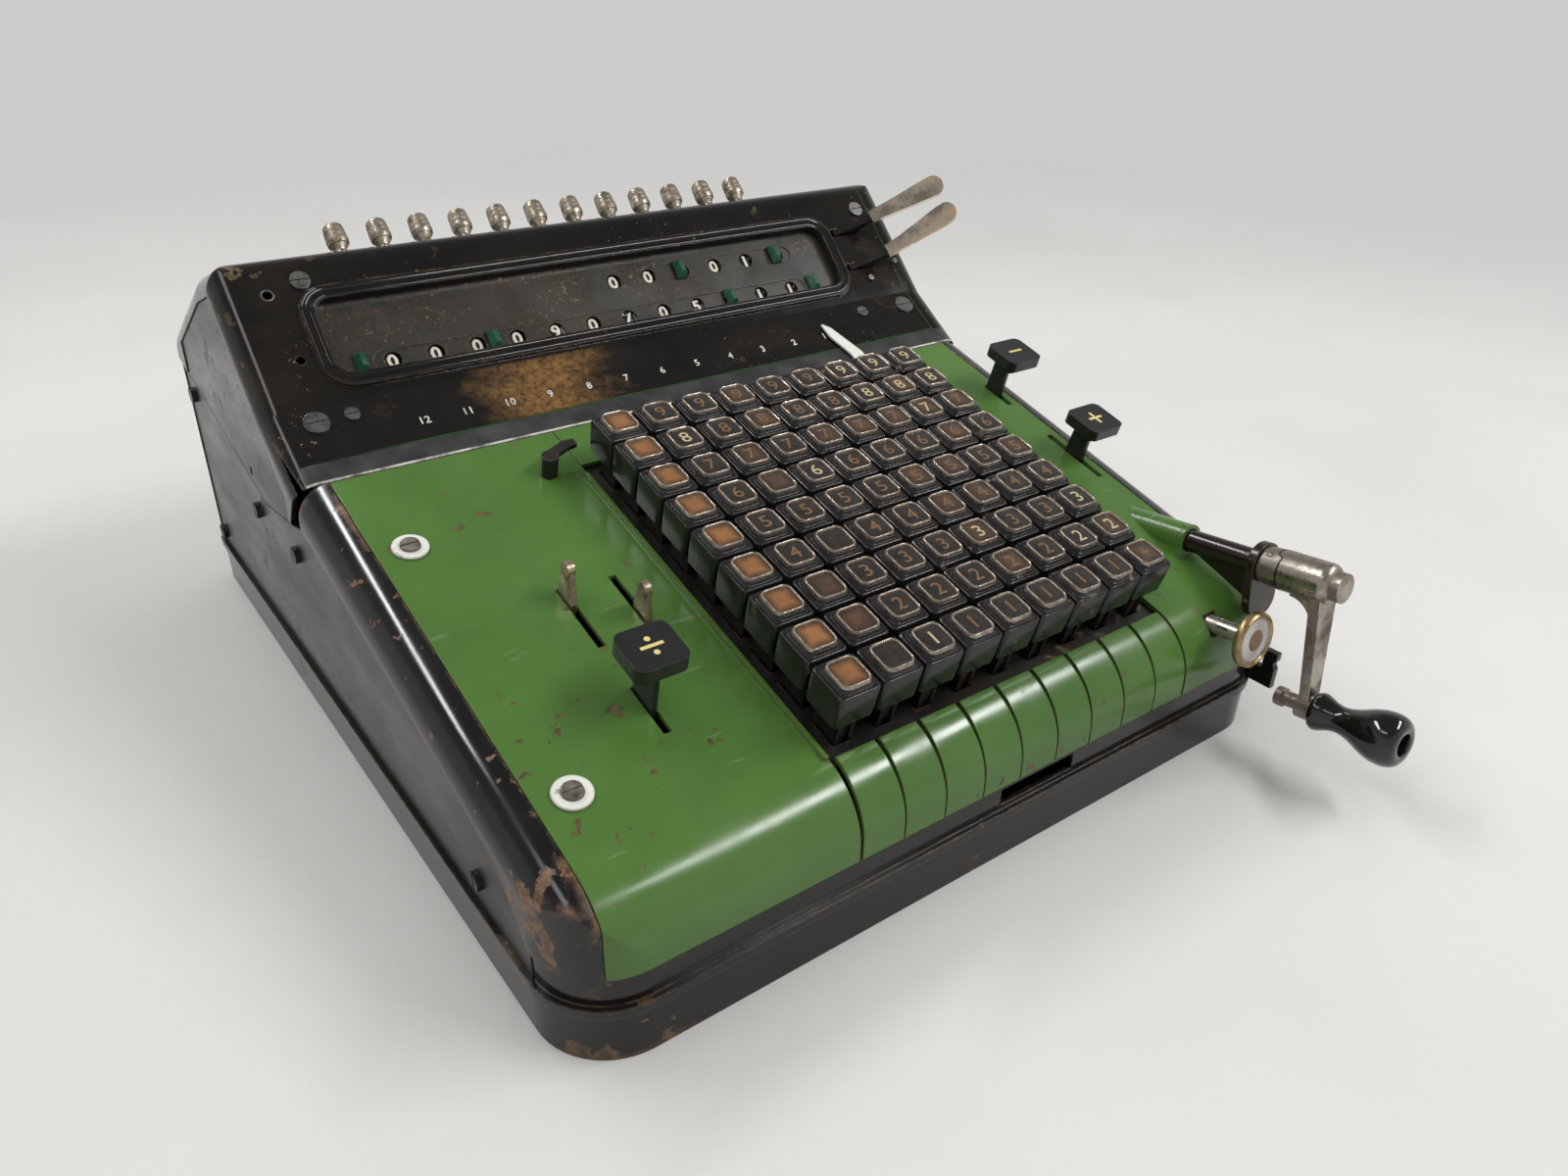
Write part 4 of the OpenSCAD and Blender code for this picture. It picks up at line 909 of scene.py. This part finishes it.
HANDLE = [(0.0026, 0.0), (0.0062, 0.0), (0.0074, 0.0006), (0.0080, 0.0018), (0.0079, 0.0032),
          (0.0072, 0.0050), (0.0062, 0.0074), (0.0056, 0.0100), (0.0056, 0.0122),
          (0.0062, 0.0150), (0.0074, 0.0182), (0.0089, 0.0214), (0.0101, 0.0245),
          (0.0108, 0.0275), (0.0110, 0.0302), (0.0108, 0.0326), (0.0101, 0.0346),
          (0.0090, 0.0360), (0.0076, 0.0368), (0.0060, 0.0370), (0.0048, 0.0367),
          (0.0045, 0.0360), (0.0045, 0.0332), (0.0026, 0.0331)]
CRANK_THROW = 0.055
HUB_R = 0.0081

bm = bmesh.new()
ring(bm, HANDLE, CRANK @ at(0, -CRANK_THROW, 0.0268), 56)
piece = new_piece("turned_handle", bm, "crank_handle_body", M["bakelite"], 50)
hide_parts("crank_handle")
lathed("hub_pin", [(0.0012, -0.0004), (0.0012, 0.0001), (0.0007, 0.0003)],
       CRANK @ turn(32, "Z") @ at(0, HUB_R, 0.0022) @ turn(-90, "X"), 20,
       "crank", "dark_screw", 50)
lathed("button_ring", [(0.0090, 0.0119), (0.0113, 0.0100), (0.0117, 0.0112), (0.0114, 0.0131),
                       (0.0106, 0.0137), (0.0097, 0.0132), (0.0093, 0.0122)],
       BUTTON, 56, "push_button_body", "brass", 60)
lathed("button_face", [(0.0096, 0.0121), (0.0094, 0.0127), (0.0070, 0.0130), (0.0046, 0.0131)],
       BUTTON, 48, "push_button_body", "pearl", 60)
lathed("button_centre", [(0.0047, 0.0129), (0.0044, 0.0132), (0.0020, 0.0133)],
       BUTTON, 32, "push_button_body", "brown_spot", 60)

# ---------- floor, light and camera ----------

FLAT_R = 1.5
SWEEP_R = 0.9
FLOOR_N = 96


def seen_ray(t):
    """1 for camera, glossy and transmission rays."""
    rays = t.node("ShaderNodeLightPath").outputs
    seen = t.most(rays["Is Camera Ray"], rays["Is Glossy Ray"])
    return t.most(seen, rays["Is Transmission Ray"])


def cloth_material():
    """Pale cloth with faint stains; far from the object it is seen at an even level."""
    t = Tree(bpy.data.materials.new("cloth"))
    stains = t.ramp(t.noise(3.0, 6.0, 0.5), 0.35, 0.7)
    t.link(t.mix(stains, (0.56, 0.555, 0.54), (0.51, 0.50, 0.485)), t.bsdf.inputs["Base Color"])
    t.bsdf.inputs["Roughness"].default_value = 0.95
    t.bump(t.noise(160.0, 4.0, 0.5), 0.15, 0.002)
    length = t.node("ShaderNodeVectorMath", operation="LENGTH")
    t.link(t.coord, length.inputs[0])
    far = t.ramp(length.outputs["Value"], 0.55, FLAT_R)
    glow = t.node("ShaderNodeEmission")
    glow.inputs["Strength"].default_value = 1.0
    glow.inputs["Color"].default_value = (0.60, 0.60, 0.59, 1)
    t.blend(t.times(far, seen_ray(t)), t.bsdf, glow, "Material Output")
    return t.owner


# Cloth that lies flat under the object and rises all round in one sweep
bm = bmesh.new()
profile = [(0.001, 0.0), (0.4, 0.0), (0.9, 0.0), (FLAT_R, 0.0)]
profile += [(FLAT_R + SWEEP_R * math.sin(a), SWEEP_R - SWEEP_R * math.cos(a))
            for a in (math.radians(7.5 * k) for k in range(1, 13))]
profile += [(FLAT_R + SWEEP_R, 1.3)]
rows = [[bm.verts.new((x, y, z)) for x, y in ring_loop(r, FLOOR_N)] for r, z in profile]
bm.faces.new(rows[0])
for low, high in zip(rows, rows[1:]):
    for k in range(FLOOR_N):
        n = (k + 1) % FLOOR_N
        bm.faces.new((low[k], low[n], high[n], high[k]))
bmesh.ops.recalc_face_normals(bm, faces=bm.faces)
for f in bm.faces:
    f.smooth = True
    if f.normal.z < -0.5:
        f.normal_flip()
mesh = bpy.data.meshes.new("floor")
bm.to_mesh(mesh)
bm.free()
floor = bpy.data.objects.new("floor", mesh)
bpy.context.scene.collection.objects.link(floor)
floor.location = (0, 0, cad_box[0][2])
mesh.materials.append(cloth_material())

# White light from all round, seen as a grey that darkens towards the zenith
world = bpy.data.worlds.new("world")
bpy.context.scene.world = world
t = Tree(world, "Generated")
light = t.nt.nodes["Background"]
light.inputs["Color"].default_value = (1, 1, 1, 1)
light.inputs["Strength"].default_value = 0.85
seen = t.node("ShaderNodeBackground")
split = t.node("ShaderNodeSeparateXYZ")
t.link(t.coord, split.inputs[0])
t.link(t.ramp(split.outputs["Z"], 0.35, 0.75, 0.70, 0.20), seen.inputs["Strength"])
t.blend(seen_ray(t), light, seen, "World Output")


def area(name, place, target, size, power):
    d = bpy.data.lights.new(name, "AREA")
    d.shape = "RECTANGLE"
    d.size, d.size_y = size
    d.energy = power
    o = bpy.data.objects.new(name, d)
    bpy.context.scene.collection.objects.link(o)
    o.location = place
    aim = Vector(target) - Vector(place)
    o.rotation_euler = aim.to_track_quat("-Z", "Y").to_euler()


area("key", (-0.5, 0.9, 1.5), (0, 0, 0.05), (1.2, 0.12), 12)
area("fill", (-1.0, -0.1, 1.4), (0, 0, 0.08), (0.9, 0.20), 2.5)
area("front", (0.9, -0.9, 1.3), (0, 0, 0.08), (1.1, 0.20), 18)

# Camera as fitted to the photograph's straight edges
CAMERA_AT = (-0.26196, -0.41148, 0.30213)
AZIMUTH, ELEVATION, ROLL = (math.radians(a) for a in (37.0, 29.52, 1.34))

cam = bpy.data.cameras.new("camera")
cam.sensor_width = 36.0
cam.lens = 27.05
cam.clip_start = 0.01
camera = bpy.data.objects.new("camera", cam)
bpy.context.scene.collection.objects.link(camera)
look = Vector((math.sin(AZIMUTH) * math.cos(ELEVATION), math.cos(AZIMUTH) * math.cos(ELEVATION),
               -math.sin(ELEVATION)))
right = look.cross(Vector((0, 0, 1))).normalized()
up = right.cross(look)
axes = Matrix((right * math.cos(ROLL) + up * math.sin(ROLL),
               up * math.cos(ROLL) - right * math.sin(ROLL), -look)).transposed()
camera.matrix_world = Matrix.Translation(CAMERA_AT) @ axes.to_4x4()
bpy.context.scene.camera = camera
bpy.context.scene.view_settings.view_transform = "Standard"
